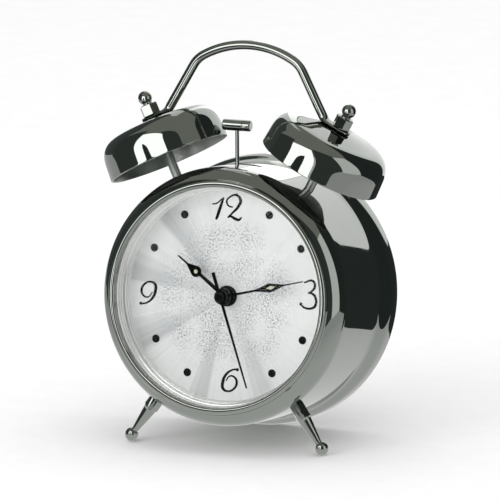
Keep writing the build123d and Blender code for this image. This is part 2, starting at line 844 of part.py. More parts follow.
def arbor(at, front, back):
    """Slim arbor with its pivots."""
    return disc(pivot_radius, front, back, *at)


def make_second_arbor():
    """Second hand's arbor with its wheel and pinion."""
    wheel_back = second_wheel_front + wheel_thickness
    body = gear(second_teeth, going_module, second_phase, second_wheel_front, wheel_back)
    front = third_wheel_front - pinion_over
    body += gear(small_teeth, going_module, second_pinion_phase, front, second_wheel_front)
    return body + disc(second_arbor_radius, hand_levels["second"] - 0.2, movement_back - 0.4)


def make_third_wheel():
    """Third wheel and pinion between the seconds and the minutes."""
    front = centre_wheel_front - pinion_over
    wheel_back = third_wheel_front + wheel_thickness
    body = gear(third_teeth, going_module, third_phase, third_wheel_front, wheel_back, *third_at)
    body += gear(small_teeth, centre_module, third_pinion_phase, front, third_wheel_front, *third_at)
    return body + arbor(third_at, bridge_front + clear, movement_back - 0.4)


def make_fourth_wheel():
    """Step-down wheel and pinion between the rotor and the second hand."""
    front = second_wheel_front - pinion_over
    wheel_back = fourth_wheel_front + wheel_thickness
    body = gear(fourth_teeth, going_module, fourth_phase, fourth_wheel_front, wheel_back, *fourth_at)
    body += gear(small_teeth, going_module, fourth_pinion_phase, front, fourth_wheel_front, *fourth_at)
    return body + arbor(fourth_at, bridge_front + clear, movement_back - 0.4)


rotor_radius = 3.0
rotor_front = bridge_back + 0.8
rotor_back = rotor_front + 2.6


def make_rotor():
    """Magnet rotor of the stepping motor with its pinion."""
    front = fourth_wheel_front - pinion_over
    body = gear(rotor_teeth, going_module, rotor_phase, front, front + pinion_thickness, *rotor_at)
    body += disc(rotor_radius, rotor_front, rotor_back, *rotor_at)
    return body + arbor(rotor_at, bridge_front + clear, movement_back - 0.4)


stator_thickness = 1.0
stator_front = rotor_front + 0.8
stator_low = rotor_at[1] - rotor_radius - 1.6
coil_x = -movement_half_width + shell + 3.6
coil_radius = 2.9
coil_low = movement_bottom + shell + 9.0
coil_core = 1.2


def make_stator():
    """Iron plate round the rotor that carries the coil's field."""
    right = rotor_at[0] + rotor_radius + 1.2
    left = coil_x - 2.2
    top = movement_top - shell - 6.0
    middle = ((left + right) / 2, (stator_low + top) / 2)
    sheet = Pos(*middle) * RectangleRounded(right - left, top - stator_low, 0.8)
    sheet -= Pos(*rotor_at) * Circle(rotor_radius + 0.5)
    return plate(sheet, stator_front, stator_front + stator_thickness)


def make_coil():
    """Wound bobbin on an iron core that ends at the stator."""
    middle_y = bridge_back + coil_radius + 0.5
    top = stator_low - 1.6
    core = rod(coil_core, (coil_x, middle_y, coil_low - 1.2), (coil_x, middle_y, stator_low))
    winding = rod(coil_radius, (coil_x, middle_y, coil_low), (coil_x, middle_y, top))
    for z in (coil_low, top - 0.8):
        winding += rod(coil_radius + 0.3, (coil_x, middle_y, z), (coil_x, middle_y, z + 0.8))
    return winding + core


def make_circuit_board():
    """Small board with its chip, flat against the movement's back plate."""
    right = movement_half_width - shell - 0.6
    board = block(3.0, right, back_plate_front - 1.0, back_plate_front, movement_bottom + 6.8, -6.0)
    chip_low = movement_bottom + 8.0
    chip = block(8.0, 13.0, back_plate_front - 2.2, back_plate_front - 1.0, chip_low, chip_low + 5.0)
    return board + chip


# Hands, from the dial outwards: alarm, hour, minute, second
hand_levels = {
    "second": hub_front + 0.6,
    "minute": hub_front + 0.6 + hand_pitch,
    "hour": hub_front + 0.6 + 2 * hand_pitch,
    "alarm": hub_front + 0.6 + 3 * hand_pitch - 0.3,
}


def hand_plate(outline, name, angle):
    """Turn an outline that points to 12 o'clock to its rest angle and give it its thickness."""
    level = hand_levels[name]
    return plate(Rot(0, 0, -angle) * outline, level, level + hand_thickness)


def tapered(length, root, tip):
    """Slim bar that tapers from the hub to its end."""
    return Polygon((-root, 0), (root, 0), (tip, length), (-tip, length), align=None)


def make_second_hand():
    """Needle with a short tail and a capped hub."""
    needle = Polygon(
        (-0.7, -second_tail), (0.7, -second_tail), (0.28, second_length), (-0.28, second_length), align=None
    )
    level = hand_levels["second"]
    hand = hand_plate(needle + Circle(2.2), "second", second_angle)
    cap = disc(1.9, hub_front, level + hand_thickness / 2) + disc(1.5, level, level + 1.5)
    return hand + cap - disc(second_arbor_radius, level - 0.2, level + 5)


def make_minute_hand():
    """Minute hand: a thin stem, a long diamond and a fine point."""
    stem = tapered(minute_length, 0.6, 0.25)
    low = 0.37 * minute_length
    middle = 0.59 * minute_length
    high = 0.80 * minute_length
    stem += Polygon((0, low), (diamond_half, middle), (0, high), (-diamond_half, middle), align=None)
    hand = hand_plate(stem + Circle(2.3), "minute", minute_angle)
    level = hand_levels["minute"]
    hand += disc(2.3, level, level + 1.4)
    return hand - disc(minute_out, level - 1, level + 3)


def make_hour_hand():
    """Hour hand: a thin stem, a round-shouldered spade and a fine point."""
    middle = 0.61 * hour_length
    high = 0.83 * hour_length
    turn = math.acos(spade_radius / (high - middle))
    side = spade_radius * math.sin(turn)
    touch = middle + spade_radius * math.cos(turn)
    stem = tapered(hour_length, 0.65, 0.3)
    stem += Polygon((-side, touch), (0, middle), (side, touch), (0, high), align=None)
    stem += Pos(0, middle) * Circle(spade_radius)
    hand = hand_plate(stem + Circle(2.6), "hour", hour_angle)
    level = hand_levels["hour"]
    hand += disc(2.6, level, level + 1.3)
    return hand - disc(hour_out, level - 1, level + 3)


def make_alarm_hand():
    """Short plain alarm hand, which stands under the hour hand."""
    stem = tapered(alarm_length, 0.55, 0.3)
    hand = hand_plate(stem + Circle(3.4), "alarm", hour_angle)
    level = hand_levels["alarm"]
    return hand - disc(alarm_out, level - 1, level + 3)


def make_minute_arbor():
    """Minute tube with its wheel and the cannon pinion."""
    tube = ring(minute_out, minute_in, hand_levels["minute"], centre_wheel_front + wheel_thickness + 0.3)
    wheel_back = centre_wheel_front + wheel_thickness
    wheel = gear(centre_teeth, centre_module, centre_phase, centre_wheel_front, wheel_back)
    front = motion_wheel_front - pinion_over
    pinion = gear(cannon_teeth, cannon_module, cannon_phase, front, front + pinion_thickness)
    bore = disc(minute_in, hand_levels["minute"] - 1, movement_back)
    return tube + (wheel + pinion - bore)


def make_hour_wheel():
    """Hour tube with its wheel."""
    back = hour_wheel_front + wheel_thickness
    tube = ring(hour_out, hour_in, hand_levels["hour"], back)
    wheel = gear(hour_teeth, hour_module, hour_phase, hour_wheel_front, back)
    return tube + (wheel - disc(hour_in, hour_wheel_front - 1, back + 1))


def make_alarm_wheel():
    """Alarm tube with its wheel."""
    back = alarm_wheel_front + wheel_thickness
    tube = ring(alarm_out, alarm_in, hand_levels["alarm"], back)
    wheel = gear(alarm_teeth, alarm_module, alarm_phase, alarm_wheel_front, back)
    return tube + (wheel - disc(alarm_in, alarm_wheel_front - 1, back + 1))


def make_motion_wheel():
    """Wheel and pinion that step the minute hand's turn down to the hour hand."""
    front = hour_wheel_front - pinion_over
    back = motion_wheel_front + wheel_thickness
    body = gear(motion_teeth, cannon_module, motion_phase, motion_wheel_front, back, *motion_at)
    body += gear(
        motion_pinion_teeth, hour_module, motion_pinion_phase, front, motion_wheel_front, *motion_at
    )
    return body + arbor(motion_at, frame_back + clear, bridge_back - clear)


set_shaft_end = cover_back + knob_gap + knob_length - 1.5


def make_set_arbor(at, teeth, module, phase, front):
    """Long setting shaft with a pinion, a pivot at its front end and a knob seat at the back."""
    x, z = at
    body = gear(teeth, module, phase, front, front + wheel_thickness, x, z)
    body += disc(set_shaft_radius, front + wheel_thickness, set_shaft_end, x, z)
    return body + disc(pivot_radius, frame_back + clear, front + wheel_thickness, x, z)


def make_knob(at):
    """Ribbed setting knob with a blind bore for its shaft."""
    x, z = at
    front = cover_back + knob_gap
    rib = knob_radius * math.pi / knob_ribs * 0.55
    outline = Circle(knob_radius - 0.5)
    for index in range(knob_ribs):
        px, pz = polar(knob_radius - rib, 360 * index / knob_ribs)
        outline += Pos(px, pz) * Circle(rib)
    body = plate(Pos(x, z) * outline, front + 0.6, front + knob_length)
    body += disc(knob_radius - 0.8, front, front + 0.6, x, z)
    return body - disc(set_shaft_radius, front - 1, set_shaft_end, x, z)


# Hammer drive on the back of the inner frame
hammer_pivot = (hammer_pivot_x, hammer_pivot_z)
crank_at = (hammer_pivot_x, hammer_pivot_z - crank_drop)
drive_centres = drive_module * (crank_teeth + motor_teeth) / 2
motor_at = (crank_at[0] + drive_centres, crank_at[1])
bracket_back = frame_back + bracket_plate
crank_front = bracket_back + 0.4
crank_back = crank_front + 1.2
tail_front = crank_back + 0.5
tail_back = tail_front + 1.6
motor_front = tail_back + 1.0
hub_back = bell_y + 1.4
cradle_wall = 1.4
cradle_front = motor_front + 2.0
cradle_back = cradle_front + 8.0
crank_stud_radius = 0.8
bracket_left = crank_at[0] - 14.0
bracket_right = motor_at[0] + motor_radius + 3.4
bracket_low = movement_top + 0.6
bracket_high = hammer_pivot_z + 6.0
bracket_screw_points = [
    (bracket_left + 2.5, bracket_high - 2.5),
    (bracket_right - 2.5, bracket_high - 2.5),
    (bracket_left + 2.5, bracket_low + 2.5),
]


def make_hammer_bracket():
    """Plate on the inner frame with the crank's stud and a cradle for the motor."""
    sheet_middle = ((bracket_left + bracket_right) / 2, (bracket_low + bracket_high) / 2)
    sheet_width = bracket_right - bracket_left
    sheet = Pos(*sheet_middle) * RectangleRounded(sheet_width, bracket_high - bracket_low, 2)
    body = plate(sheet, frame_back, bracket_back)
    body += disc(crank_stud_radius, bracket_back, crank_back + clear, *crank_at)
    body += ring(motor_radius + cradle_wall, motor_radius, cradle_front, cradle_back, *motor_at)
    leg_left = motor_at[0] + motor_radius + 0.1
    body += block(leg_left, bracket_right - 0.5, bracket_back, cradle_back, motor_at[1] - 4, motor_at[1] + 4)
    body -= disc(motor_radius, cradle_front - 1, cradle_back + 1, *motor_at)
    for x, z in bracket_screw_points:
        body -= disc(screw_radius, frame_back - 1, bracket_back + 1, x, z)
    return body - disc(pivot_pin_radius, frame_back - 1, bracket_back + 1, *hammer_pivot)


def make_bracket_screws():
    """Three screws that hold the hammer bracket to the inner frame."""
    screws = []
    for x, z in bracket_screw_points:
        head = disc(2 * screw_radius, bracket_back, bracket_back + 1.1, x, z)
        neck = disc(screw_radius, frame_back, bracket_back, x, z)
        screws.append(head + neck + disc(frame_screw_radius, dial_back + clear, frame_back, x, z))
    return screws


def make_pivot_pin():
    """Steel pin that the hammer swings on, with a retaining collar."""
    pin = disc(pivot_pin_radius, frame_back, hub_back + 0.9, *hammer_pivot)
    return pin + disc(pivot_pin_radius + 0.9, hub_back + 0.2, hub_back + 0.9, *hammer_pivot)


def make_crank_gear():
    """Crank wheel with the pin that rocks the hammer's tail."""
    body = gear(crank_teeth, drive_module, 0, crank_front, crank_back, *crank_at)
    body -= disc(crank_stud_radius + running_clearance, crank_front - 1, crank_back + 1, *crank_at)
    pin_x = crank_at[0] + crank_radius
    return body + disc(crank_pin_radius, crank_back, tail_back + 0.2, pin_x, crank_at[1])


def make_motor():
    """Small round motor with a front boss and a bore for its shaft."""
    body = disc(motor_radius, motor_front, motor_front + motor_length, *motor_at)
    body += disc(1.6, motor_front - 1.0, motor_front, *motor_at)
    bore_end = motor_front + motor_length / 2
    return body - disc(motor_shaft_radius + running_clearance, motor_front - 2, bore_end, *motor_at)


def make_motor_pinion():
    """Motor shaft with its pinion."""
    phase = mesh_phase(0, crank_teeth, 0, motor_teeth)
    body = gear(motor_teeth, drive_module, phase, crank_front - 0.1, crank_back + 0.1, *motor_at)
    return body + disc(motor_shaft_radius, crank_front, motor_front + motor_length / 2 - 0.5, *motor_at)


def make_hammer_arm():
    """Hammer lever: hub on the pivot, stem up through the case slot and a tail with a wide window."""
    hub = disc(hammer_hub_radius, bracket_back + 0.3, hub_back, *hammer_pivot)
    head = (hammer_stem_x, bell_y, hammer_head_z)
    stem = rod(hammer_stem_radius, (hammer_pivot_x, bell_y, hammer_pivot_z), head)
    shift = crank_drop * math.tan(math.radians(hammer_swing))
    pin_reach = crank_radius + crank_pin_radius + loose
    window_left = crank_at[0] - pin_reach
    window_right = crank_at[0] + pin_reach + shift
    rim = 1.2
    window_x = (window_left + window_right) / 2
    width = window_right - window_left
    height = 2 * pin_reach + 0.4
    frame = Pos(window_x, crank_at[1]) * RectangleRounded(width + 2 * rim, height + 2 * rim, 1.2)
    tail_width = 2 * hammer_hub_radius * 0.8
    frame += Pos(hammer_pivot_x, hammer_pivot_z - crank_drop / 2) * Rectangle(tail_width, crank_drop)
    frame -= Pos(window_x, crank_at[1]) * RectangleRounded(width, height, 0.6)
    tail = plate(frame, tail_front, tail_back)
    arm = hub + stem + tail
    head_left = (hammer_head_left, bell_y, hammer_head_z)
    head_right = (hammer_head_right, bell_y, hammer_head_z)
    arm -= rod(hammer_head_radius, head_left, head_right)
    return arm - disc(pivot_pin_radius + running_clearance, frame_back, hub_back + 1, *hammer_pivot)


def make_hammer_head():
    """Round striking head with a fine groove near one end."""
    length = hammer_head_right - hammer_head_left
    head = Cylinder(hammer_head_radius, length)
    head = fillet(head.edges(), 0.6)
    groove_z = length / 2 - length * 0.27
    groove = Cylinder(hammer_head_radius + 1, 0.5) - Cylinder(hammer_head_radius - 0.25, 0.5)
    head -= Pos(0, 0, groove_z) * groove
    middle = (hammer_head_left + hammer_head_right) / 2
    return Pos(middle, bell_y, hammer_head_z) * Rot(0, 90, 0) * head


# Rear cover and what it carries
spacer_points = [polar(spacer_circle, angle) for angle in (30, 150, 270)]
battery_offsets = (battery_pitch / 2, -battery_pitch / 2)
box_half_width = battery_length / 2 + 0.7
box_half_height = battery_pitch / 2 + battery_radius + 0.5
box_low = battery_z - box_half_height
box_high = battery_z + box_half_height
battery_y = cover_front - battery_radius - 0.6
box_front = battery_y - battery_radius - 0.6 - battery_wall
hinge_y = cover_front + cover_thickness / 2
hinge_z = box_low + door_gap + cover_thickness / 2
skirt_front = flare_end - (flare_bend - wall) + 0.2


def make_rear_cover():
    """Back plate with a skirt, shaft holes, a switch slot, sound holes and the battery opening."""
    plate_solid = disc(cover_radius, cover_front, cover_back)
    plate_solid = fillet(plate_solid.edges().group_by(Axis.Y)[-1], 0.6)
    body = plate_solid + ring(cover_radius, cover_radius - cover_skirt, skirt_front, cover_front)
    opening = Pos(0, battery_z) * Rectangle(2 * box_half_width, 2 * box_half_height)
    body -= plate(opening, cover_front - 1, cover_back + 1)
    for x, z in set_holes:
        body -= disc(set_shaft_radius + loose, cover_front - 1, cover_back + 1, x, z)
    for x, z in spacer_points:
        body -= disc(screw_radius + clear, cover_front - 1, cover_back + 1, x, z)
    slot = Pos(0, switch_z) * Rectangle(switch_travel + 2 * switch_thumb + 2 * loose, 2 * switch_thumb)
    body -= plate(slot, cover_front - 1, cover_back + 1)
    for index in range(sound_holes):
        x, z = polar(sound_circle, 90 + (index - (sound_holes - 1) / 2) * sound_step)
        body -= disc(sound_hole_radius, cover_front - 1, cover_back + 1, x, z)
    reach = box_half_width + trunnion_length + clear
    socket = rod(trunnion_radius + running_clearance, (-reach, hinge_y, hinge_z), (reach, hinge_y, hinge_z))
    return body - socket


def make_spacer_posts():
    """Three pillars from the inner frame to the rear cover."""
    posts = []
    for x, z in spacer_points:
        post = disc(spacer_radius, frame_back, cover_front - running_clearance, x, z)
        post += disc(spacer_radius / 2, frame_back - frame_plate / 2, frame_back, x, z)
        posts.append(post - disc(screw_radius, cover_front - 8, cover_front + 1, x, z))
    return posts


def make_cover_screws():
    """Three screws through the rear cover into the pillars."""
    screws = []
    for x, z in spacer_points:
        head = disc(2.2, cover_back, cover_back + 1.3, x, z) - block(
            x - 3, x + 3, cover_back + 0.8, cover_back + 2, z - 0.3, z + 0.3
        )
        screws.append(head + disc(screw_radius, cover_front - 7, cover_back, x, z))
    return screws


switch_plate_back = cover_front - 0.2
switch_plate_front = switch_plate_back - 1.4
switch_rest = -switch_travel / 2


def make_alarm_switch():
    """Sliding alarm switch: a thumb piece through the cover's slot and its retaining plate."""
    half = switch_thumb - loose / 2
    body = block(
        switch_rest - 5.5,
        switch_rest + 5.5,
        switch_plate_front,
        switch_plate_back,
        switch_z - 3.2,
        switch_z + 3.2,
    )
    return body + block(
        switch_rest - switch_thumb, switch_rest + switch_thumb, switch_plate_back, cover_back + 1.8,
        switch_z - half, switch_z + half,
    )


def make_switch_body():
    """Contact block behind the switch, on two pillars against the cover."""
    back = switch_plate_front - 2 * clear
    low = switch_z - switch_height / 2
    high = switch_z + switch_height / 2
    wide = switch_half_width
    body = block(-wide, wide, back - switch_depth, back, low, high)
    for left in (-wide, wide - 3):
        body += block(left, left + 3, back, cover_front, low, high)
    return body


def make_battery_box():
    """Open battery box against the inside of the rear cover."""
    body = block(
        -box_half_width - battery_wall, box_half_width + battery_wall, box_front, cover_front,
        box_low - battery_wall, box_high + battery_wall,
    )
    inside_front = box_front + battery_wall
    return body - block(-box_half_width, box_half_width, inside_front, cover_front + 1, box_low, box_high)


def make_battery(offset, way):
    """One round cell with its raised end."""
    half = battery_length / 2
    z = battery_z + offset
    nub = 1.2
    cell = rod(battery_radius, (-way * half, battery_y, z), (way * (half - nub), battery_y, z))
    return cell + rod(2.7, (way * (half - nub), battery_y, z), (way * half, battery_y, z))


def make_battery_contacts():
    """Contact strips: one joins both cells on the left, two stand apart on the right."""
    thin = 0.5
    y0 = battery_y - 4
    y1 = battery_y + 4
    left = block(-box_half_width, -box_half_width + thin, y0, y1, box_low + 2, box_high - 2)
    upper = block(box_half_width - thin, box_half_width, y0, y1, battery_z + 2, box_high - 2)
    lower = block(box_half_width - thin, box_half_width, y0, y1, box_low + 2, battery_z - 2)
    return [left, upper, lower]


def make_battery_door():
    """Battery door with a rounded hinge edge, two trunnions and a finger notch."""
    half = box_half_width - door_gap
    top = box_high - door_gap
    body = block(-half, half, cover_front, cover_back, hinge_z, top)
    body += rod(cover_thickness / 2, (-half, hinge_y, hinge_z), (half, hinge_y, hinge_z))
    reach = box_half_width + trunnion_length
    body += rod(trunnion_radius, (-reach, hinge_y, hinge_z), (reach, hinge_y, hinge_z))
    return body - rod(3.0, (0, cover_back + 2.0, top - 12), (0, cover_back + 2.0, top + 1))


pieces = {
    "case_drum": make_case_drum(),
    "bezel_ring": make_bezel_ring(),
    "lens": make_lens(),
    "dial_ring": make_dial_ring(),
    "dial": make_dial(),
    "inner_frame": make_inner_frame(),
    "frame_screws": make_frame_screws(),
    "bell_left": bell_places["left"] * make_bell(),
    "bell_right": bell_places["right"] * make_bell(),
    "bell_post_left": make_post("left"),
    "bell_post_right": make_post("right"),
    "bell_post_nuts": make_post_nuts(),
    "ball_nut_left": bell_places["left"] * make_ball_nut(),
    "ball_nut_right": bell_places["right"] * make_ball_nut(),
    "handle": make_handle(),
    "foot_left": make_foot("left"),
    "foot_right": make_foot("right"),
    "foot_nuts": make_foot_nuts(),
    "movement_front": make_movement_front(),
    "movement_rear": make_movement_rear(),
    "bridge_plate": make_bridge_plate(),
    "movement_screws": make_movement_screws(),
    "centre_nut": make_centre_nut(),
    "stator": make_stator(),
    "coil": make_coil(),
    "circuit_board": make_circuit_board(),
    "second_arbor": make_second_arbor(),
    "second_hand": make_second_hand(),
    "minute_arbor": make_minute_arbor(),
    "minute_hand": make_minute_hand(),
    "hour_wheel": make_hour_wheel(),
    "hour_hand": make_hour_hand(),
    "alarm_wheel": make_alarm_wheel(),
    "alarm_hand": make_alarm_hand(),
    "motion_wheel": make_motion_wheel(),
    "third_wheel": make_third_wheel(),
    "fourth_wheel": make_fourth_wheel(),
    "rotor": make_rotor(),
    "time_arbor": make_set_arbor(time_at, time_teeth, cannon_module, time_phase, motion_wheel_front),
    "time_knob": make_knob(time_at),
    "alarm_arbor": make_set_arbor(
        alarm_set_at, alarm_set_teeth, alarm_module, alarm_set_phase, alarm_wheel_front
    ),
    "alarm_knob": make_knob(alarm_set_at),
    "hammer_bracket": make_hammer_bracket(),
    "bracket_screws": make_bracket_screws(),
    "pivot_pin": make_pivot_pin(),
    "motor": make_motor(),
    "motor_pinion": make_motor_pinion(),
    "crank_gear": make_crank_gear(),
    "hammer_arm": make_hammer_arm(),
    "hammer_head": make_hammer_head(),
    "rear_cover": make_rear_cover(),
    "spacer_posts": make_spacer_posts(),
    "cover_screws": make_cover_screws(),
    "alarm_switch": make_alarm_switch(),
    "switch_body": make_switch_body(),
    "battery_box": make_battery_box(),
    "battery_upper": make_battery(battery_offsets[0], 1),
    "battery_lower": make_battery(battery_offsets[1], -1),
    "battery_contacts": make_battery_contacts(),
    "battery_door": make_battery_door(),
}

# Lean the clock back until the balls of both feet and the rolled rear rim rest on the table
foot_drop = foot_reach * math.cos(math.radians(foot_angle))
run = hem_start - foot_y
rise = foot_drop - (rim_radius - flare_bend)
lean = math.degrees(math.atan2(rise, run) + math.asin((foot_ball - flare_bend) / math.hypot(run, rise)))


def placed_at(place, piece):
    """Move a piece, or each solid of a group of like pieces, to its place."""
    members = piece if isinstance(piece, list) else [piece]
    return Compound([solid for member in members for solid in (place * member).solids()])


leaned = {name: placed_at(Rot(-lean, 0, 0), piece) for name, piece in pieces.items()}
ball_low = -foot_drop * math.cos(math.radians(lean)) - foot_y * math.sin(math.radians(lean)) - foot_ball
table = ball_low + foot_pad_depth
boxes = [piece.bounding_box() for piece in leaned.values()]
middle_y = (min(box.min.Y for box in boxes) + max(box.max.Y for box in boxes)) / 2
stand = Pos(0, -middle_y, -table) * Rot(-lean, 0, 0)
below = Pos(0, 0, -10) * Box(400, 400, 20)

os.makedirs("parts", exist_ok=True)
for name, piece in pieces.items():
    if name in ("foot_left", "foot_right", "case_drum"):
        placed = stand * piece - below
    else:
        placed = placed_at(stand, piece)
    export_step(placed, f"parts/{name}.step")

# The joints' axes run through these points, along the leaned depth axis unless noted
axis_points = {
    "hands": (0, 0, 0),
    "third_wheel": (third_at[0], bridge_front, third_at[1]),
    "fourth_wheel": (fourth_at[0], bridge_front, fourth_at[1]),
    "rotor": (rotor_at[0], bridge_front, rotor_at[1]),
    "motion_wheel": (motion_at[0], bridge_front, motion_at[1]),
    "time_knob": (time_at[0], cover_back, time_at[1]),
    "alarm_knob": (alarm_set_at[0], cover_back, alarm_set_at[1]),
    "crank": (crank_at[0], crank_front, crank_at[1]),
    "motor_pinion": (motor_at[0], crank_front, motor_at[1]),
    "hammer": (hammer_pivot[0], bell_y, hammer_pivot[1]),
    "door hinge, along x": (0, hinge_y, hinge_z),
}
print(f"lean {lean:.4f} degrees, middle_y {middle_y:.4f}, table {table:.4f}")
for name, point in axis_points.items():
    spot = stand * Pos(*point)
    print(f"{name}: {spot.position.X:.4f} {spot.position.Y:.4f} {spot.position.Z:.4f}")
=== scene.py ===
"""Looks for a twin bell alarm clock: polished metal, silvered dial, domed lens and a black back."""

import json
import math

import bpy
from bpy.props import FloatProperty, FloatVectorProperty, PointerProperty
from mathutils import Matrix, Vector


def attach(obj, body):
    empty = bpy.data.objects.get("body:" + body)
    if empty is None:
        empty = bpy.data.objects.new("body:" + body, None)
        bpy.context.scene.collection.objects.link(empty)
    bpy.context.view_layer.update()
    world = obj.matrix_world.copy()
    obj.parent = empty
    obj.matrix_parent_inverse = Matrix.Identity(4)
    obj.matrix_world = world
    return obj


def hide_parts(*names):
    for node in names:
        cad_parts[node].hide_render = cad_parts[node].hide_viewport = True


bl_info = {
    "name": "Twin Bell Alarm Clock",
    "version": (1, 0, 0),
    "blender": (4, 5, 0),
    "location": "View3D > Sidebar > Clock",
    "description": "Dresses the packed clock with metal, dial, glass and plastic pieces",
    "category": "Object",
}

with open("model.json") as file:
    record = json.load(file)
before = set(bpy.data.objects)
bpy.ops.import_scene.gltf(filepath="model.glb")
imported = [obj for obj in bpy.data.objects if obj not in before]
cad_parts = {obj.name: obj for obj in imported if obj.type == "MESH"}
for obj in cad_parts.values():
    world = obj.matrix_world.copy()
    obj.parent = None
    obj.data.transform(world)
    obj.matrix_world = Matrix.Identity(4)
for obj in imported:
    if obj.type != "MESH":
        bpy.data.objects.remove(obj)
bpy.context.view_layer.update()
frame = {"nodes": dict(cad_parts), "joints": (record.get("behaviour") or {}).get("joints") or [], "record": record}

# The clock leans back. Pieces are modelled in millimetres in the clock's own frame: x to the right,
# y to the back along the hands' axis, z up. The stand then carries them to the table.
spin = next(joint for joint in frame["joints"] if joint["name"] == "second_spin")
lean = math.atan2(-spin["axis"][2], spin["axis"][1])
stand = Matrix.Translation(spin["pos_m"]) @ Matrix.Rotation(-lean, 4, "X") @ Matrix.Scale(0.001, 4)

# A turned piece is spun about its local z, which lies along the hands' axis here.
along_hands = Matrix.Rotation(math.radians(-90), 4, "X")

# Where the bells stand: along the hands' axis, as the handle and the hammer's slot do, to each side and up.
bell_depth, bell_reach, bell_height = 26.8, 34.4, 55.7

# Sizes are set in metres and drawn in millimetres.
to_mm = 1000


def linear(text):
    """Linear colour of an sRGB hex value."""
    values = [int(text[i : i + 2], 16) / 255 for i in (0, 2, 4)]
    return [v / 12.92 if v <= 0.04045 else ((v + 0.055) / 1.055) ** 2.4 for v in values]


class ClockSizes(bpy.types.PropertyGroup):
    """Sizes of the pieces that dress the clock."""

    case_radius: FloatProperty(
        name="Case radius", description="Radius of the drum's straight side", default=0.0553, unit="LENGTH"
    )
    bell_radius: FloatProperty(
        name="Bell radius", description="Radius of a bell at its rim", default=0.02705, unit="LENGTH"
    )
    bell_tilt: FloatProperty(
        name="Bell tilt",
        description="How far each bell leans outwards",
        default=math.radians(26.4),
        subtype="ANGLE",
    )
    dot_radius: FloatProperty(
        name="Dot radius", description="Radius of an hour dot", default=0.00172, unit="LENGTH"
    )
    dot_circle: FloatProperty(
        name="Dot circle", description="Radius of the circle of hour dots", default=0.03875, unit="LENGTH"
    )
    number_circle: FloatProperty(
        name="Number circle", description="Radius of the circle of numbers", default=0.0366, unit="LENGTH"
    )
    dial_turn: FloatProperty(
        name="Dial turn",
        description="How far the dial's print sits turned, anticlockwise",
        default=math.radians(3.2),
        subtype="ANGLE",
    )
    pen_weight: FloatProperty(
        name="Pen weight", description="How bold the numbers' strokes are", default=1.3, subtype="FACTOR"
    )


class ClockFinishes(bpy.types.PropertyGroup):
    """Colours of the clock's finishes."""

    nickel: FloatVectorProperty(
        name="Nickel", description="Tint of the polished plate", default=linear("999d98"), subtype="COLOR"
    )
    # The dial's silver, and the darker grey of its wedges, which are painted reflection.
    dial_light: FloatVectorProperty(
        name="Dial light", description="Light rays of the dial", default=linear("f0f0ef"), subtype="COLOR"
    )
    dial_painted_dark: FloatVectorProperty(
        name="Dial dark", description="Dark rays of the dial", default=linear("bcbdbe"), subtype="COLOR"
    )
    paint: FloatVectorProperty(
        name="Hand paint", description="Gloss black of the hands", default=linear("090a0a"), subtype="COLOR"
    )
    ink: FloatVectorProperty(
        name="Ink", description="Print of numbers and dots", default=linear("060607"), subtype="COLOR"
    )
    lume: FloatVectorProperty(
        name="Lume", description="Pale filling of the hands", default=linear("c6c5ae"), subtype="COLOR"
    )
    plastic: FloatVectorProperty(
        name="Back plastic",
        description="Black of the moulded back",
        default=linear("1a1b1c"),
        subtype="COLOR",
    )


def add(tree, kind, values, **settings):
    """Adds a node. Values go to its inputs by name or number: a socket is linked, the rest is set."""
    made = tree.nodes.new(kind)
    for key, value in settings.items():
        setattr(made, key, value)
    for key, value in values.items():
        if isinstance(value, bpy.types.NodeSocket):
            tree.links.new(value, made.inputs[key])
        else:
            made.inputs[key].default_value = value
    return made


def opaque(colour):
    """A colour with full cover, as a socket takes it."""
    return [*colour, 1.0]


def fresh_material(name):
    """An empty material, its node tree and its output."""
    material = bpy.data.materials.new(name)
    material.use_nodes = True
    material.node_tree.nodes.clear()
    return material, material.node_tree, add(material.node_tree, "ShaderNodeOutputMaterial", {})


def polished_nickel():
    """Nickel plate on polished steel, buffed. It mirrors the room with a faint cool grey tint; fine
    buffing haze and a slight waviness of the sheet keep the reflections from being perfect."""
    material, tree, output = fresh_material("polished_nickel")
    tint = bpy.context.scene.clock_finishes.nickel
    place = add(tree, "ShaderNodeTexCoord", {}).outputs["Object"]
    # Buffing haze in patches about 6 mm wide, and sheet waviness about 25 mm long.
    haze = add(tree, "ShaderNodeTexNoise", {"Vector": place, "Scale": 160.0, "Detail": 4.0})
    rough = add(tree, "ShaderNodeMapRange", {"Value": haze.outputs["Fac"], "From Min": 0.3, "From Max": 0.75,
                                             "To Min": 0.015, "To Max": 0.05})
    dull = [c * 0.93 for c in tint]
    tone = add(tree, "ShaderNodeMix", {0: haze.outputs["Fac"], 6: opaque(tint), 7: opaque(dull)},
               data_type="RGBA")
    wave = add(tree, "ShaderNodeTexNoise", {"Vector": place, "Scale": 40.0, "Detail": 1.0})
    bump = add(tree, "ShaderNodeBump", {"Height": wave.outputs["Fac"], "Strength": 0.02, "Distance": 0.0004})
    shader = add(tree, "ShaderNodeBsdfPrincipled", {
        "Base Color": tone.outputs[2], "Metallic": 1.0, "Roughness": rough.outputs[0],
        "Normal": bump.outputs[0],
    })
    tree.links.new(shader.outputs[0], output.inputs["Surface"])
    return material


def clock_place(tree):
    """Object coordinates turned into the clock's own frame, in metres."""
    place = add(tree, "ShaderNodeTexCoord", {}).outputs["Object"]
    return add(tree, "ShaderNodeMapping", {
        "Vector": place, "Location": list(spin["pos_m"]), "Rotation": (-lean, 0.0, 0.0),
    }, vector_type="TEXTURE").outputs[0]


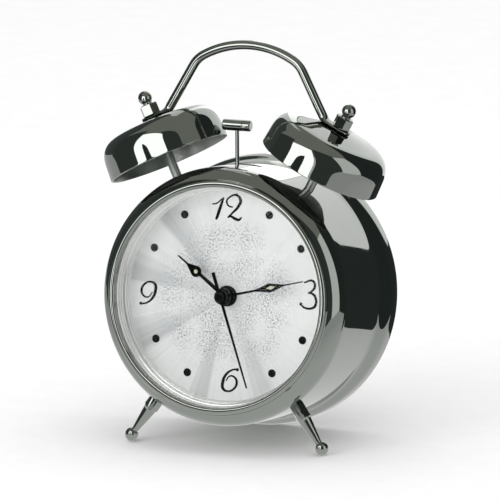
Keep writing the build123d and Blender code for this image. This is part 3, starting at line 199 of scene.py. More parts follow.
def silvered_sunburst():
    """Silvered dial, brushed from its middle outwards. A few soft grey wedges fan out to the left and below:
    painted reflection of the brushing, fixed in the colour. A grey speckled grain clouds the middle field and
    fades out under the numbers."""
    material, tree, output = fresh_material("silvered_sunburst_dial")
    finishes = bpy.context.scene.clock_finishes
    onto_dial = {0: clock_place(tree), 1: (1.0, 0.0, 1.0)}
    flat = add(tree, "ShaderNodeVectorMath", onto_dial, operation="MULTIPLY").outputs[0]
    radius = add(tree, "ShaderNodeVectorMath", {0: flat}, operation="LENGTH").outputs["Value"]
    heading = add(tree, "ShaderNodeVectorMath", {0: flat}, operation="NORMALIZE").outputs[0]
    split = add(tree, "ShaderNodeSeparateXYZ", {0: flat})
    bearing = add(tree, "ShaderNodeMath", {0: split.outputs[0], 1: split.outputs[2]}, operation="ARCTAN2")
    # Fine brushed rays, which also make the edges of the wedges sway.
    ray = add(tree, "ShaderNodeTexNoise", {
        "Vector": heading, "Scale": 22.0, "Detail": 3.0, "Roughness": 0.65,
    })
    sway = add(tree, "ShaderNodeMapRange", {"Value": ray.outputs["Fac"], "To Min": -0.012, "To Max": 0.012})
    turn = add(tree, "ShaderNodeMapRange", {
        "Value": bearing.outputs[0], "From Min": -math.pi, "From Max": math.pi,
    })
    place = add(tree, "ShaderNodeMath", {0: turn.outputs[0], 1: sway.outputs[0]}, operation="ADD")
    reflection_wedge = add(tree, "ShaderNodeValToRGB", {0: place.outputs[0]})
    # Wedges of painted reflection by bearing, from 6 o'clock by way of 9, 12 and 3: where each tone lies in
    # degrees, and how light.
    reflection_tones = (
        (9, 0.9), (11, 0.3), (19, 0.4), (22, 0.85), (54, 0.85), (57, 0.1), (66, 0.35), (75, 0.85),
        (94, 0.8), (97, 0.1), (106, 0.35), (114, 0.85), (132, 0.85), (135, 0.15), (143, 0.3), (152, 0.85),
        (180, 1.0), (300, 1.0), (328, 0.85), (331, 0.5), (340, 0.55), (344, 0.9),
    )
    for index, (degrees, tone) in enumerate(reflection_tones):
        stop = reflection_wedge.color_ramp.elements[0] if index == 0 else reflection_wedge.color_ramp.elements.new(degrees / 360)
        stop.position = degrees / 360
        stop.color = (tone, tone, tone, 1.0)
    reflection_wedge.color_ramp.elements.remove(reflection_wedge.color_ramp.elements[-1])
    streak = add(tree, "ShaderNodeMapRange", {"Value": ray.outputs["Fac"], "From Min": 0.3, "From Max": 0.7,
                                              "To Min": -0.16, "To Max": 0.1})
    fan = add(tree, "ShaderNodeMath", {0: reflection_wedge.outputs[0], 1: streak.outputs[0]}, operation="ADD",
              use_clamp=True)
    # The painted reflection wedges fade out towards the middle of the dial.
    reach = add(tree, "ShaderNodeMapRange", {
        "Value": radius, "From Min": 0.006, "From Max": 0.036, "To Min": 0.25,
    })
    shade = add(tree, "ShaderNodeMix", {0: reach.outputs[0], 2: 0.95, 3: fan.outputs[0]}, data_type="FLOAT")
    # Specks of about 0.7 mm in clouds of about 12 mm, from 4 mm to 36 mm from the middle.
    grain = add(tree, "ShaderNodeTexNoise", {
        "Vector": flat, "Scale": 1300.0, "Detail": 2.0, "Roughness": 0.6,
    })
    cloud = add(tree, "ShaderNodeTexNoise", {"Vector": flat, "Scale": 85.0, "Detail": 2.0})
    mottle = add(tree, "ShaderNodeMath", {0: grain.outputs["Fac"], 1: cloud.outputs["Fac"]}, operation="ADD")
    speck = add(tree, "ShaderNodeMapRange", {
        "Value": grain.outputs["Fac"], "From Min": 0.46, "From Max": 0.64,
    })
    dense = add(tree, "ShaderNodeMapRange", {
        "Value": cloud.outputs["Fac"], "From Min": 0.34, "From Max": 0.62, "To Min": 0.15,
    })
    inner = add(tree, "ShaderNodeMapRange", {"Value": radius, "From Min": 0.004, "From Max": 0.010})
    outer = add(tree, "ShaderNodeMapRange", {"Value": radius, "From Min": 0.036, "From Max": 0.026})
    field = add(tree, "ShaderNodeMath", {0: inner.outputs[0], 1: outer.outputs[0]}, operation="MULTIPLY")
    thick = add(tree, "ShaderNodeMath", {0: dense.outputs[0], 1: field.outputs[0]}, operation="MULTIPLY")
    cover = add(tree, "ShaderNodeMath", {0: speck.outputs[0], 1: thick.outputs[0]}, operation="MULTIPLY")
    # The dial's silver, darkened in the wedges of painted reflection.
    rays = add(tree, "ShaderNodeMix", {
        0: shade.outputs[0], 6: opaque(finishes.dial_painted_dark), 7: opaque(finishes.dial_light),
    }, data_type="RGBA")
    silver = add(tree, "ShaderNodeMix", {
        0: cover.outputs[0], 6: rays.outputs[2], 7: opaque(linear("8a8d92")),
    }, data_type="RGBA")
    rough = add(tree, "ShaderNodeMapRange", {"Value": ray.outputs["Fac"], "To Min": 0.4, "To Max": 0.6})
    bump = add(tree, "ShaderNodeBump", {"Height": mottle.outputs[0], "Strength": 0.08, "Distance": 0.0001})
    shader = add(tree, "ShaderNodeBsdfPrincipled", {
        "Base Color": silver.outputs[2], "Metallic": 0.15, "Roughness": rough.outputs[0],
        "Normal": bump.outputs[0],
    })
    tree.links.new(shader.outputs[0], output.inputs["Surface"])
    return material


def clear_acrylic():
    """Moulded acrylic lens with a hard coat: clear, with a faint shine that grows towards its rim. Only
    what the camera looks at is bent; other rays pass straight, so the dial under it is lit."""
    material, tree, output = fresh_material("clear_acrylic_lens")
    place = add(tree, "ShaderNodeTexCoord", {}).outputs["Object"]
    # Faint moulding ripple about 15 mm long.
    ripple = add(tree, "ShaderNodeTexNoise", {"Vector": place, "Scale": 65.0, "Detail": 1.0})
    rough = add(tree, "ShaderNodeMapRange", {"Value": ripple.outputs["Fac"], "To Min": 0.0, "To Max": 0.01})
    bent = add(tree, "ShaderNodeBsdfRefraction", {
        "Color": opaque(linear("fcfdfd")), "Roughness": 0.0, "IOR": 1.49,
    })
    shine = add(tree, "ShaderNodeBsdfGlossy", {"Color": (1, 1, 1, 1), "Roughness": rough.outputs[0]})
    rim = add(tree, "ShaderNodeFresnel", {"IOR": 1.16})
    coated = add(tree, "ShaderNodeMixShader", {0: rim.outputs[0], 1: bent.outputs[0], 2: shine.outputs[0]})
    straight = add(tree, "ShaderNodeBsdfTransparent", {})
    path = add(tree, "ShaderNodeLightPath", {})
    seen = add(tree, "ShaderNodeMath", {
        0: path.outputs["Is Camera Ray"], 1: path.outputs["Is Transmission Ray"],
    }, operation="MAXIMUM")
    mixed = add(tree, "ShaderNodeMixShader", {
        0: seen.outputs[0], 1: straight.outputs[0], 2: coated.outputs[0],
    })
    tree.links.new(mixed.outputs[0], output.inputs["Surface"])
    return material


def grained(name, colour, metallic, low, high, grain_mm, depth_mm, shine=0.5):
    """A finish whose tone, roughness and relief all follow one fine grain of a real size."""
    material, tree, output = fresh_material(name)
    place = add(tree, "ShaderNodeTexCoord", {}).outputs["Object"]
    grain = add(tree, "ShaderNodeTexNoise", {"Vector": place, "Scale": to_mm / grain_mm, "Detail": 3.0})
    tone = add(tree, "ShaderNodeMix", {0: grain.outputs["Fac"], 6: opaque([c * 0.85 for c in colour]),
                                       7: opaque([min(1.0, c * 1.12) for c in colour])}, data_type="RGBA")
    rough = add(tree, "ShaderNodeMapRange", {"Value": grain.outputs["Fac"], "From Min": 0.3, "From Max": 0.7,
                                             "To Min": low, "To Max": high})
    bump = add(tree, "ShaderNodeBump", {
        "Height": grain.outputs["Fac"], "Strength": 0.3, "Distance": depth_mm / to_mm,
    })
    shader = add(tree, "ShaderNodeBsdfPrincipled", {
        "Base Color": tone.outputs[2], "Metallic": metallic, "Roughness": rough.outputs[0],
        "Normal": bump.outputs[0], "Specular IOR Level": shine,
    })
    tree.links.new(shader.outputs[0], output.inputs["Surface"])
    return material


finish_of = {}


def finish(name):
    """The material for a slot of the record or for a print or filling, made when first asked for."""
    if name in finish_of:
        return finish_of[name]
    colours = bpy.context.scene.clock_finishes
    built = {"nickel": polished_nickel, "silver_dial": silvered_sunburst, "lens_glass": clear_acrylic}
    # Material, colour, share of metal, lowest and highest roughness, grain and its depth in mm, shine.
    plain = {
        # The bells' unpolished insides: the same plate, left dull.
        "satin_nickel": ("satin_nickel", [c * 1.15 for c in colours.nickel], 1.0, 0.3, 0.42, 0.6, 0.01),
        # Walls of the hammer's slot: dark dull steel, a painted shade for the shadow inside the slot.
        "slot_painted_shade": ("slot_edge_painted_shade", linear("3b3b39"), 1.0, 0.4, 0.55, 0.4, 0.02),
        # Bright silvered ring: a soft mirror that doubles the dial's wedges.
        "ring_silver": ("bright_silvered_ring", linear("ececea"), 0.6, 0.12, 0.24, 1.5, 0.01),
        # Sprayed gloss enamel: deep black with a slight orange peel.
        "black_paint": ("gloss_black_enamel", colours.paint, 0.0, 0.12, 0.22, 0.8, 0.01, 0.2),
        # Screen-printed ink: black, half matt, with a faint mesh grain.
        "ink": ("screen_printed_ink", colours.ink, 0.0, 0.3, 0.45, 0.4, 0.01, 0.1),
        # Luminous filling: a chalky cream paste with a sandy grain.
        "lume": ("luminous_paste", colours.lume, 0.0, 0.6, 0.8, 0.25, 0.03),
        # Pad-printed marks on the back: pale grey and dull, a little worn.
        "pale_print": ("pad_printed_marks", linear("bfc0bb"), 0.0, 0.5, 0.65, 0.5, 0.01),
        # Moulded ABS: satin black with a spark-eroded grain.
        "black_plastic": ("satin_black_abs", colours.plastic, 0.0, 0.4, 0.55, 0.35, 0.03),
        # Moulded ABS of the works: dull grey.
        "grey_plastic": ("moulded_grey_abs", linear("87898b"), 0.0, 0.4, 0.6, 0.5, 0.02),
        # Acetal gears: milky and waxy.
        "white_plastic": ("natural_acetal", linear("e8e7df"), 0.0, 0.25, 0.4, 0.6, 0.01),
        # Zinc-plated steel: bluish grey with a spangled haze.
        "steel": ("zinc_plated_steel", linear("b9bcbf"), 1.0, 0.18, 0.36, 0.9, 0.01),
        # Turned brass: yellow with fine tool haze.
        "brass": ("turned_brass", linear("d9b45f"), 1.0, 0.15, 0.3, 0.3, 0.01),
        # Sintered magnet: dark grey and gritty.
        "magnet": ("sintered_magnet", linear("4a4b4d"), 0.6, 0.5, 0.7, 0.15, 0.02),
        # Enamelled copper wire: reddish with the glint of lacquer.
        "copper_coil": ("enamelled_copper_wire", linear("b8663a"), 0.9, 0.2, 0.4, 0.2, 0.04),
        # Solder mask on glass laminate: green with the weave showing through.
        "board_green": ("green_solder_mask", linear("24683c"), 0.0, 0.2, 0.4, 0.7, 0.01),
        # Plain printed cell jacket: dark foil with a soft shine.
        "battery_jacket": ("printed_foil_jacket", linear("53585e"), 0.7, 0.25, 0.4, 1.2, 0.01),
    }
    if name in built:
        finish_of[name] = built[name]()
    elif name in plain:
        finish_of[name] = grained(*plain[name])
    else:
        raise RuntimeError(f"no finish is known for {name}")
    return finish_of[name]


def deselect():
    """Goes to object mode with nothing selected."""
    if bpy.context.mode != "OBJECT":
        bpy.ops.object.mode_set(mode="OBJECT")
    bpy.ops.object.select_all(action="DESELECT")


def activate(piece):
    """Selects one piece alone."""
    deselect()
    piece.select_set(True)
    bpy.context.view_layer.objects.active = piece


def edit_all():
    """Opens the active piece for editing with all of it selected."""
    bpy.ops.object.mode_set(mode="EDIT")
    bpy.ops.mesh.select_all(action="SELECT")


def settle(piece, name, place, body, material, nodes=()):
    """Names a finished piece, puts its place into its mesh, and joins it to its body and finish."""
    piece.name = name
    piece.data.name = name
    piece.data.transform(stand @ place @ piece.matrix_basis)
    piece.matrix_basis = Matrix.Identity(4)
    piece.data.materials.clear()
    piece.data.materials.append(finish(material))
    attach(piece, body)
    if nodes:
        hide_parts(*nodes)


def arc(centre_r, centre_h, radius, start, end, steps):
    """Points on an arc of an outline, from one angle to another in degrees."""
    points = []
    for index in range(steps + 1):
        turn = math.radians(start + (end - start) * index / steps)
        points.append((centre_r + radius * math.cos(turn), centre_h + radius * math.sin(turn)))
    return points


def soften(outline, gap, rounds):
    """Even points along an outline, eased into one flowing line so that reflections run without a kink."""
    even = [outline[0]]
    left = gap
    for start, end in zip(outline, outline[1:]):
        span = math.dist(start, end)
        while left < span:
            even.append(tuple(a + (b - a) * left / span for a, b in zip(start, end)))
            left += gap
        left -= span
    even.append(outline[-1])
    for _ in range(rounds):
        middle = []
        for three in zip(even, even[1:], even[2:]):
            middle.append(tuple((a + 2 * b + c) / 4 for a, b, c in zip(*three)))
        even = [even[0]] + middle + [even[-1]]
    return even


def lathe(outline, steps=160):
    """Spins an outline of (radius, height) points into a piece about its own z."""
    deselect()
    bpy.ops.mesh.primitive_plane_add(size=1.0)
    edit_all()
    bpy.ops.mesh.select_mode(type="VERT")
    bpy.ops.mesh.merge(type="CENTER")
    bpy.ops.mesh.select_all(action="SELECT")
    points = [Vector((radius, 0.0, height)) for radius, height in outline]
    bpy.ops.transform.translate(value=points[0])
    for here, goal in zip(points, points[1:]):
        bpy.ops.mesh.extrude_vertices_move(TRANSFORM_OT_translate={"value": goal - here})
    bpy.ops.mesh.select_all(action="SELECT")
    bpy.ops.mesh.spin(steps=steps, angle=2 * math.pi, center=(0, 0, 0), axis=(0, 0, 1))
    bpy.ops.mesh.select_all(action="SELECT")
    bpy.ops.mesh.remove_doubles(threshold=0.0005)
    bpy.ops.mesh.select_all(action="SELECT")
    bpy.ops.mesh.normals_make_consistent(inside=False)
    bpy.ops.object.mode_set(mode="OBJECT")
    bpy.ops.object.shade_smooth_by_angle(angle=math.radians(30))
    return bpy.context.active_object


def smooth_copy(node, body, material, smooth=30.0):
    """A merged and smoothly shaded copy of a solid, which stands for it."""
    source = frame["nodes"][node]
    piece = bpy.data.objects.new(node + "_smooth", source.data.copy())
    bpy.context.scene.collection.objects.link(piece)
    activate(piece)
    edit_all()
    bpy.ops.mesh.remove_doubles(threshold=0.000002)
    bpy.ops.object.mode_set(mode="OBJECT")
    bpy.ops.object.shade_smooth_by_angle(angle=math.radians(smooth))
    modifier = piece.modifiers.new("even_faces", "WEIGHTED_NORMAL")
    modifier.keep_sharp = True
    bpy.ops.object.modifier_apply(modifier=modifier.name)
    settle(piece, node + "_smooth", stand.inverted(), body, material, [node])


def cut(piece, cutter):
    """Takes the cutter's shape out of the piece and removes the cutter."""
    activate(piece)
    modifier = piece.modifiers.new("opening", "BOOLEAN")
    modifier.operation = "DIFFERENCE"
    modifier.solver = "EXACT"
    modifier.object = cutter
    bpy.ops.object.modifier_apply(modifier=modifier.name)
    bpy.data.objects.remove(cutter)


class CLOCK_OT_case(bpy.types.Operator):
    """Spin the drum, cut the hammer's slot and polish it"""

    bl_idname = "clock.case"
    bl_label = "Case drum"

    def execute(self, context):
        side = context.scene.clock_sizes.case_radius * to_mm
        throat = side + 1.5
        wall = 0.8
        # The rounded nose: its radius, and the depth at which the straight side begins.
        nose, nose_depth = 9.8, 11.0
        turn = math.degrees(math.asin(7.0 / nose))
        outline = [(side - 6.8, 4.0)]
        outline += arc(side - nose, nose_depth, nose, -turn, 0, 14)
        outline += [(side, nose_depth + 40.3 * k / 8) for k in range(1, 6)]
        # The flare, eased into one line, then the rear rim and the inside of the wall.
        flare = [(side, 42.0)] + arc(side + 1.0, 51.32, 1.0, 180, 105, 6)
        flare += arc(throat + 0.7, 53.5, 0.8, -75, 0, 6) + [(throat + 1.5, 59.5)]
        flare = soften(flare, 0.4, 75)
        outline += flare
        outline += arc(throat, 61.5, 1.5, 0, 90, 6)
        outline += arc(throat, 61.5, 0.7, 90, 0, 4)
        outline += [(radius - wall, depth) for radius, depth in reversed(flare)]
        inner = math.degrees(math.asin(6.2 / 9.0))
        outline += arc(side - nose, nose_depth, 9.0, 0, -inner, 8)
        outline += [(side - 6.8, 4.8), outline[0]]
        drum = lathe(outline, steps=224)
        drum.data.transform(along_hands)
        # The hammer's slot, with rounded corners.
        slot_x = 0.3
        deselect()
        bpy.ops.mesh.primitive_cube_add(size=1.0, location=(slot_x, bell_depth, side))
        slot = context.active_object
        bpy.ops.object.mode_set(mode="EDIT")
        bpy.ops.transform.resize(value=(15.0, 5.0, 12.0))
        bpy.ops.mesh.select_all(action="DESELECT")
        bpy.ops.object.mode_set(mode="OBJECT")
        for edge in slot.data.edges:
            ends = [slot.data.vertices[index].co for index in edge.vertices]
            edge.select = abs(ends[0].z - ends[1].z) > 1.0
        bpy.ops.object.mode_set(mode="EDIT")
        bpy.ops.mesh.bevel(offset=2.45, segments=8, affect="EDGES")
        bpy.ops.object.mode_set(mode="OBJECT")
        cut(drum, slot)
        activate(drum)
        bpy.ops.object.shade_smooth_by_angle(angle=math.radians(30))
        # The slot's walls take the dark steel: painted shade inside the slot.
        edges = []
        for face in drum.data.polygons:
            x, y, z = face.center
            in_slot = abs(x - slot_x) < 7.6 and abs(y - bell_depth) < 2.6 and z > 50
            edges.append(in_slot and abs(face.normal.z) < 0.5)
        settle(drum, "polished_drum", Matrix.Identity(4), "clock", "nickel", ["case_drum"])
        drum.data.materials.append(finish("slot_painted_shade"))
        for face, in_painted_shade in zip(drum.data.polygons, edges):
            face.material_index = 1 if in_painted_shade else 0
        return {"FINISHED"}


class CLOCK_OT_front(bpy.types.Operator):
    """Spin the bezel, the lens and the stepped ring round the dial"""

    bl_idname = "clock.front"
    bl_label = "Bezel, lens and dial ring"

    def execute(self, context):
        # The bezel's seat and snap edge behind, its outer arc, the groove beside the bead, and the bead.
        ring = [(46.9, 1.9), (47.6, 1.9), (47.6, 6.0), (48.4, 6.0), (48.8, 5.6), (48.8, 4.9), (48.4, 4.9)]
        ring += [(48.4, 4.0), (52.34, 3.99)]
        ring += arc(45.5, 11.0, 10.15, -45.6, -60.8, 6)
        ring += [(50.2, 2.0), (50.05, 1.7), (49.95, 1.45)]
        ring += arc(48.4, 0.94, 1.5, 10, -180, 18)
        ring += [ring[0]]
        bezel = lathe(ring, steps=224)
        settle(bezel, "polished_bezel", along_hands, "clock", "nickel", ["bezel_ring"])
        # The lens: the radius of its domed part, how far it bulges, and the dome that gives.
        edge, bulge = 46.8, 4.5
        dome = (edge**2 + bulge**2) / (2 * bulge)
        rim = math.degrees(math.asin(edge / dome))
        front = arc(0.0, -2.5 + dome, dome, -90 + rim, -90, 24)
        back = arc(0.0, -0.7 + dome, dome, -90, -90 + rim, 24)
        glass = lathe(front + back + [(47.4, 3.8), (47.4, 2.0), front[0]], steps=160)
        settle(glass, "domed_lens", along_hands, "clock", "lens_glass", ["lens"])
        # Fine turned steps run round the ring and show as thin lines.
        step = [(47.4, 3.8), (46.9, 3.8), (46.75, 3.95), (46.6, 5.3), (46.4, 5.42), (46.25, 6.75)]
        step += [(46.0, 6.87), (45.85, 8.2), (45.4, 8.5), (45.2, 8.6), (45.0, 10.1), (44.8, 10.22)]
        step += [(44.72, 11.55), (44.58, 11.67), (44.5, 13.2), (47.4, 13.2), (47.4, 3.8)]
        surround = lathe(step, steps=192)
        settle(surround, "stepped_dial_ring", along_hands, "clock", "ring_silver", ["dial_ring"])
        return {"FINISHED"}


def print_flat():
    """Presses the active piece to the height of a print and shades it smooth."""
    edit_all()
    bpy.ops.transform.resize(value=(1.0, 1.0, 0.12))
    bpy.ops.object.mode_set(mode="OBJECT")
    bpy.ops.object.shade_smooth()
    return bpy.context.active_object


def round_curve(name, thick, resolution):
    """A new curve with a round section and closed ends."""
    curve = bpy.data.curves.new(name, "CURVE")
    curve.dimensions = "3D"
    curve.bevel_depth = thick
    curve.bevel_resolution = resolution
    curve.use_fill_caps = True
    return curve


def meshed(curve):
    """Turns a curve into a piece with a mesh."""
    piece = bpy.data.objects.new(curve.name, curve)
    bpy.context.scene.collection.objects.link(piece)
    activate(piece)
    bpy.ops.object.convert(target="MESH")
    return bpy.context.active_object


def stroke(points, thick, name):
    """A pen stroke through points on the dial: x to the right, y up, with a half width at each."""
    curve = round_curve(name, 1.0, 2)
    line = curve.splines.new("BEZIER")
    line.resolution_u = 8
    line.bezier_points.add(len(points) - 1)
    weight = bpy.context.scene.clock_sizes.pen_weight
    for knot, (x, y), half in zip(line.bezier_points, points, thick):
        knot.co = (x, y, 0.0)
        knot.radius = half * weight
        knot.handle_left_type = "AUTO"
        knot.handle_right_type = "AUTO"
    meshed(curve)
    return print_flat()


def ball(x, y, radius):
    """A round pen blot at the end of a stroke."""
    deselect()
    bpy.ops.mesh.primitive_uv_sphere_add(segments=20, ring_count=10, radius=radius, location=(x, y, 0.0))
    return print_flat()


def join(pieces):
    """Joins pieces into one mesh at the origin."""
    for piece in pieces:
        piece.data.transform(piece.matrix_basis)
        piece.matrix_basis = Matrix.Identity(4)
    deselect()
    for piece in pieces:
        piece.select_set(True)
    bpy.context.view_layer.objects.active = pieces[0]
    bpy.ops.object.join()
    return bpy.context.active_object


# Drawing on the dial: its x to the right, its y up and its z to the front.
on_dial = Matrix.Rotation(math.radians(90), 4, "X")


def six():
    """The strokes of a 6, which upside down makes a 9."""
    bowl = [(3.7, 4.6), (1.1, 4.2), (-1.7, 2.2), (-3.2, -1.1), (-3.1, -3.7), (-0.9, -4.8), (1.9, -3.7),
            (3.2, -1.1), (2.3, 1.1), (0.3, 1.7), (-1.8, -0.4)]
    half = [0.3, 0.3, 0.45, 0.55, 0.5, 0.32, 0.36, 0.45, 0.36, 0.26, 0.2]
    return [stroke(bowl, half, "six_bowl"), ball(3.6, 4.4, 0.72)]


class CLOCK_OT_dial(bpy.types.Operator):
    """Print the numbers and the hour dots on the dial"""

    bl_idname = "clock.dial"
    bl_label = "Dial print"

    def execute(self, context):
        sizes = context.scene.clock_sizes
        # The print lies on the front of the dial, a little off its middle and turned.
        face = Matrix.Translation((0.4, 13.18, 0.93)) @ Matrix.Rotation(-sizes.dial_turn, 4, "Y") @ on_dial
        circle = sizes.number_circle * to_mm
        one = [
            stroke([(-6.7, 1.5), (-4.7, 1.8), (-2.8, 3.15), (-1.35, 4.3)],
                   [0.22, 0.26, 0.26, 0.2], "one_flag"),
            stroke([(-1.35, 4.3), (-2.4, 1.7), (-3.55, -1.25), (-4.5, -3.8), (-5.1, -5.1)],
                   [0.3, 0.48, 0.55, 0.5, 0.35], "one_stem"),
        ]
        two = [
            stroke([(2.76, 0.22), (0.79, 0.8), (0.0, 2.8), (1.6, 4.6), (4.5, 5.35), (6.3, 3.3), (5.3, 0.6),
                    (2.76, -2.0), (0.24, -4.2)],
                   [0.22, 0.28, 0.34, 0.3, 0.36, 0.55, 0.5, 0.34, 0.24], "two_bow"),
            stroke([(0.24, -4.2), (1.6, -3.7), (3.7, -4.7), (5.5, -5.1), (6.7, -4.0)],
                   [0.24, 0.36, 0.5, 0.42, 0.2], "two_foot"),
            ball(4.6, 5.5, 0.75),
        ]
        twelve = join(one + two)
        twelve.data.transform(Matrix.Translation((0, circle, 0)))
        low_six = join(six())
        low_six.data.transform(Matrix.Translation((0, -circle, 0)))
        nine = join(six())
        nine.data.transform(Matrix.Translation((-circle, 0, 0)) @ Matrix.Rotation(math.pi, 4, "Z"))
        three = join([
            stroke([(-1.9, 5.1), (2.2, 5.8), (3.1, 3.8), (1.6, 1.5), (-0.2, 0.7)],
                   [0.26, 0.4, 0.5, 0.34, 0.2], "three_top"),
            stroke([(-0.2, 0.7), (1.6, 0.5), (3.3, -1.3), (3.2, -4.4), (1.6, -5.7), (-1.9, -5.5),
                    (-3.6, -4.1)],
                   [0.2, 0.36, 0.5, 0.5, 0.4, 0.36, 0.3], "three_bowl"),
            ball(-3.5, -4.0, 0.7),
        ])
        three.data.transform(Matrix.Translation((circle, 0, 0)))
        numbers = {"number_12": twelve, "number_3": three, "number_6": low_six, "number_9": nine}
        for name, piece in numbers.items():
            settle(piece, name, face, "clock", "ink")
        reach = sizes.dot_circle * to_mm
        size = sizes.dot_radius * to_mm
        outline = [(size, 0.0)] + arc(size - 0.12, 0.1, 0.12, 0, 70, 4) + [(size * 0.5, 0.27), (0.0, 0.29)]
        dots = []
        for hour in (1, 2, 4, 5, 7, 8, 10, 11):
            turn = math.radians(30 * hour)
            dot = lathe(outline, 28)
            dot.location = (math.sin(turn) * reach, math.cos(turn) * reach, 0.0)
            dots.append(dot)
        settle(join(dots), "hour_dots", face, "clock", "ink")
        return {"FINISHED"}


class CLOCK_OT_hands(bpy.types.Operator):
    """Fill the hour and minute hands with pale paste and build the black hub under them"""

    bl_idname = "clock.hands"
    bl_label = "Hand fillings and hub"

    def execute(self, context):
        # Where each hand points, clockwise from 12, then its filling's depth and reach along the hand.
        place = Matrix.Rotation(math.radians(-53.0), 4, "Y") @ Matrix.Translation((0, 8.9, 16.35)) @ on_dial
        disc = lathe([(0.86, 0.0), (0.84, 0.08), (0.7, 0.14), (0.0, 0.18)], 32)
        settle(disc, "hour_filling", place, "hour", "lume")
        place = Matrix.Rotation(math.radians(76.4), 4, "Y") @ Matrix.Translation((0, 6.9, 22.8)) @ on_dial
        deselect()
        bpy.ops.mesh.primitive_circle_add(vertices=4, radius=1.0, fill_type="NGON")
        lozenge = context.active_object
        edit_all()
        bpy.ops.transform.resize(value=(0.82, 2.2, 1.0))
        bpy.ops.mesh.extrude_region_move(TRANSFORM_OT_translate={"value": (0, 0, 0.1)})
        bpy.ops.transform.resize(value=(0.97, 0.98, 1.0))
        bpy.ops.mesh.select_all(action="SELECT")
        bpy.ops.mesh.normals_make_consistent(inside=False)
        bpy.ops.object.mode_set(mode="OBJECT")
        settle(lozenge, "minute_filling", place, "minute", "lume")
        nut = lathe([(3.0, 12.2), (4.2, 12.2), (4.45, 12.35), (4.45, 13.15), (3.0, 13.15), (3.0, 12.2)], 64)
        settle(nut, "dial_nut", along_hands, "clock", "black_paint", ["centre_nut"])
        # Black collets under each hand, ringed like a thread, and a domed cap in front.
        pitch = 0.4
        for body, outer, inner, low, high in (
            ("alarm", 4.1, 3.2, 11.3, 12.1), ("hour", 3.6, 2.8, 7.7, 8.8), ("minute", 3.1, 2.4, 5.7, 6.8)
        ):
            rings = round((high - low) / pitch)
            outline = [(inner, low)]
            for index in range(rings):
                base = low + pitch * index
                outline += [(outer - 0.2, base), (outer, base + 0.1)]
                outline += [(outer, base + 0.28), (outer - 0.2, base + 0.38)]
            outline += [(inner, low + pitch * rings), (inner, low)]
            settle(lathe(outline, 64), f"{body}_collet", along_hands, body, "black_paint")
        cap = lathe([(0.0, 3.55)] + arc(1.6, 4.15, 0.6, -90, 0, 6) + [(2.2, 4.9), (0.0, 4.9)], 64)
        settle(cap, "second_cap", along_hands, "second", "black_paint")
        return {"FINISHED"}


class CLOCK_OT_bells(bpy.types.Operator):
    """Spin both bells and smooth the posts and ball nuts"""

    bl_idname = "clock.bells"
    bl_label = "Bells"

    def execute(self, context):
        sizes = context.scene.clock_sizes
        rim = sizes.bell_radius * to_mm
        for side, name in ((-1, "left"), (1, "right")):
            # The rim's edge, the outer wall eased into one line, and the inside of the shell.
            outline = arc(rim - 0.35, 0.35, 0.35, -90, 0, 4)
            wall = [(rim, 0.4), (rim - 0.25, 4.2)] + arc(rim - 8.8, 8.5, 8.3, 0, 82, 18)
            wall += [(16.0, 17.05), (12.0, 17.7), (8.0, 18.15), (4.0, 18.45), (1.55, 18.5)]
            outline += soften(wall, 0.5, 30)
            outline += [(1.55, 17.6), (4.0, 17.55), (8.0, 17.25), (12.0, 16.8), (16.0, 16.15)]
            outline += arc(rim - 8.8, 8.5, 7.4, 82, 0, 10)
            outline += [(rim - 1.15, 4.2)]
            outline += arc(rim - 0.6, 0.3, 0.3, 180, 270, 3)
            outline += [outline[0]]
            bell = lathe(outline, steps=192)
            inside = []
            for face in bell.data.polygons:
                outwards = face.normal.x * face.center.x + face.normal.y * face.center.y
                inside.append(outwards < -0.2 or (face.normal.z < -0.3 and face.center.z > 1.0))
            place = Matrix.Translation((bell_reach * side, bell_depth, bell_height))
            place = place @ Matrix.Rotation(sizes.bell_tilt * side, 4, "Y")
            settle(bell, f"polished_bell_{name}", place, "clock", "nickel", [f"bell_{name}"])
            bell.data.materials.append(finish("satin_nickel"))
            for face, dull in zip(bell.data.polygons, inside):
                face.material_index = 1 if dull else 0
            smooth_copy(f"bell_post_{name}", "clock", "satin_nickel")
            smooth_copy(f"ball_nut_{name}", "clock", "nickel", 20.0)
        return {"FINISHED"}


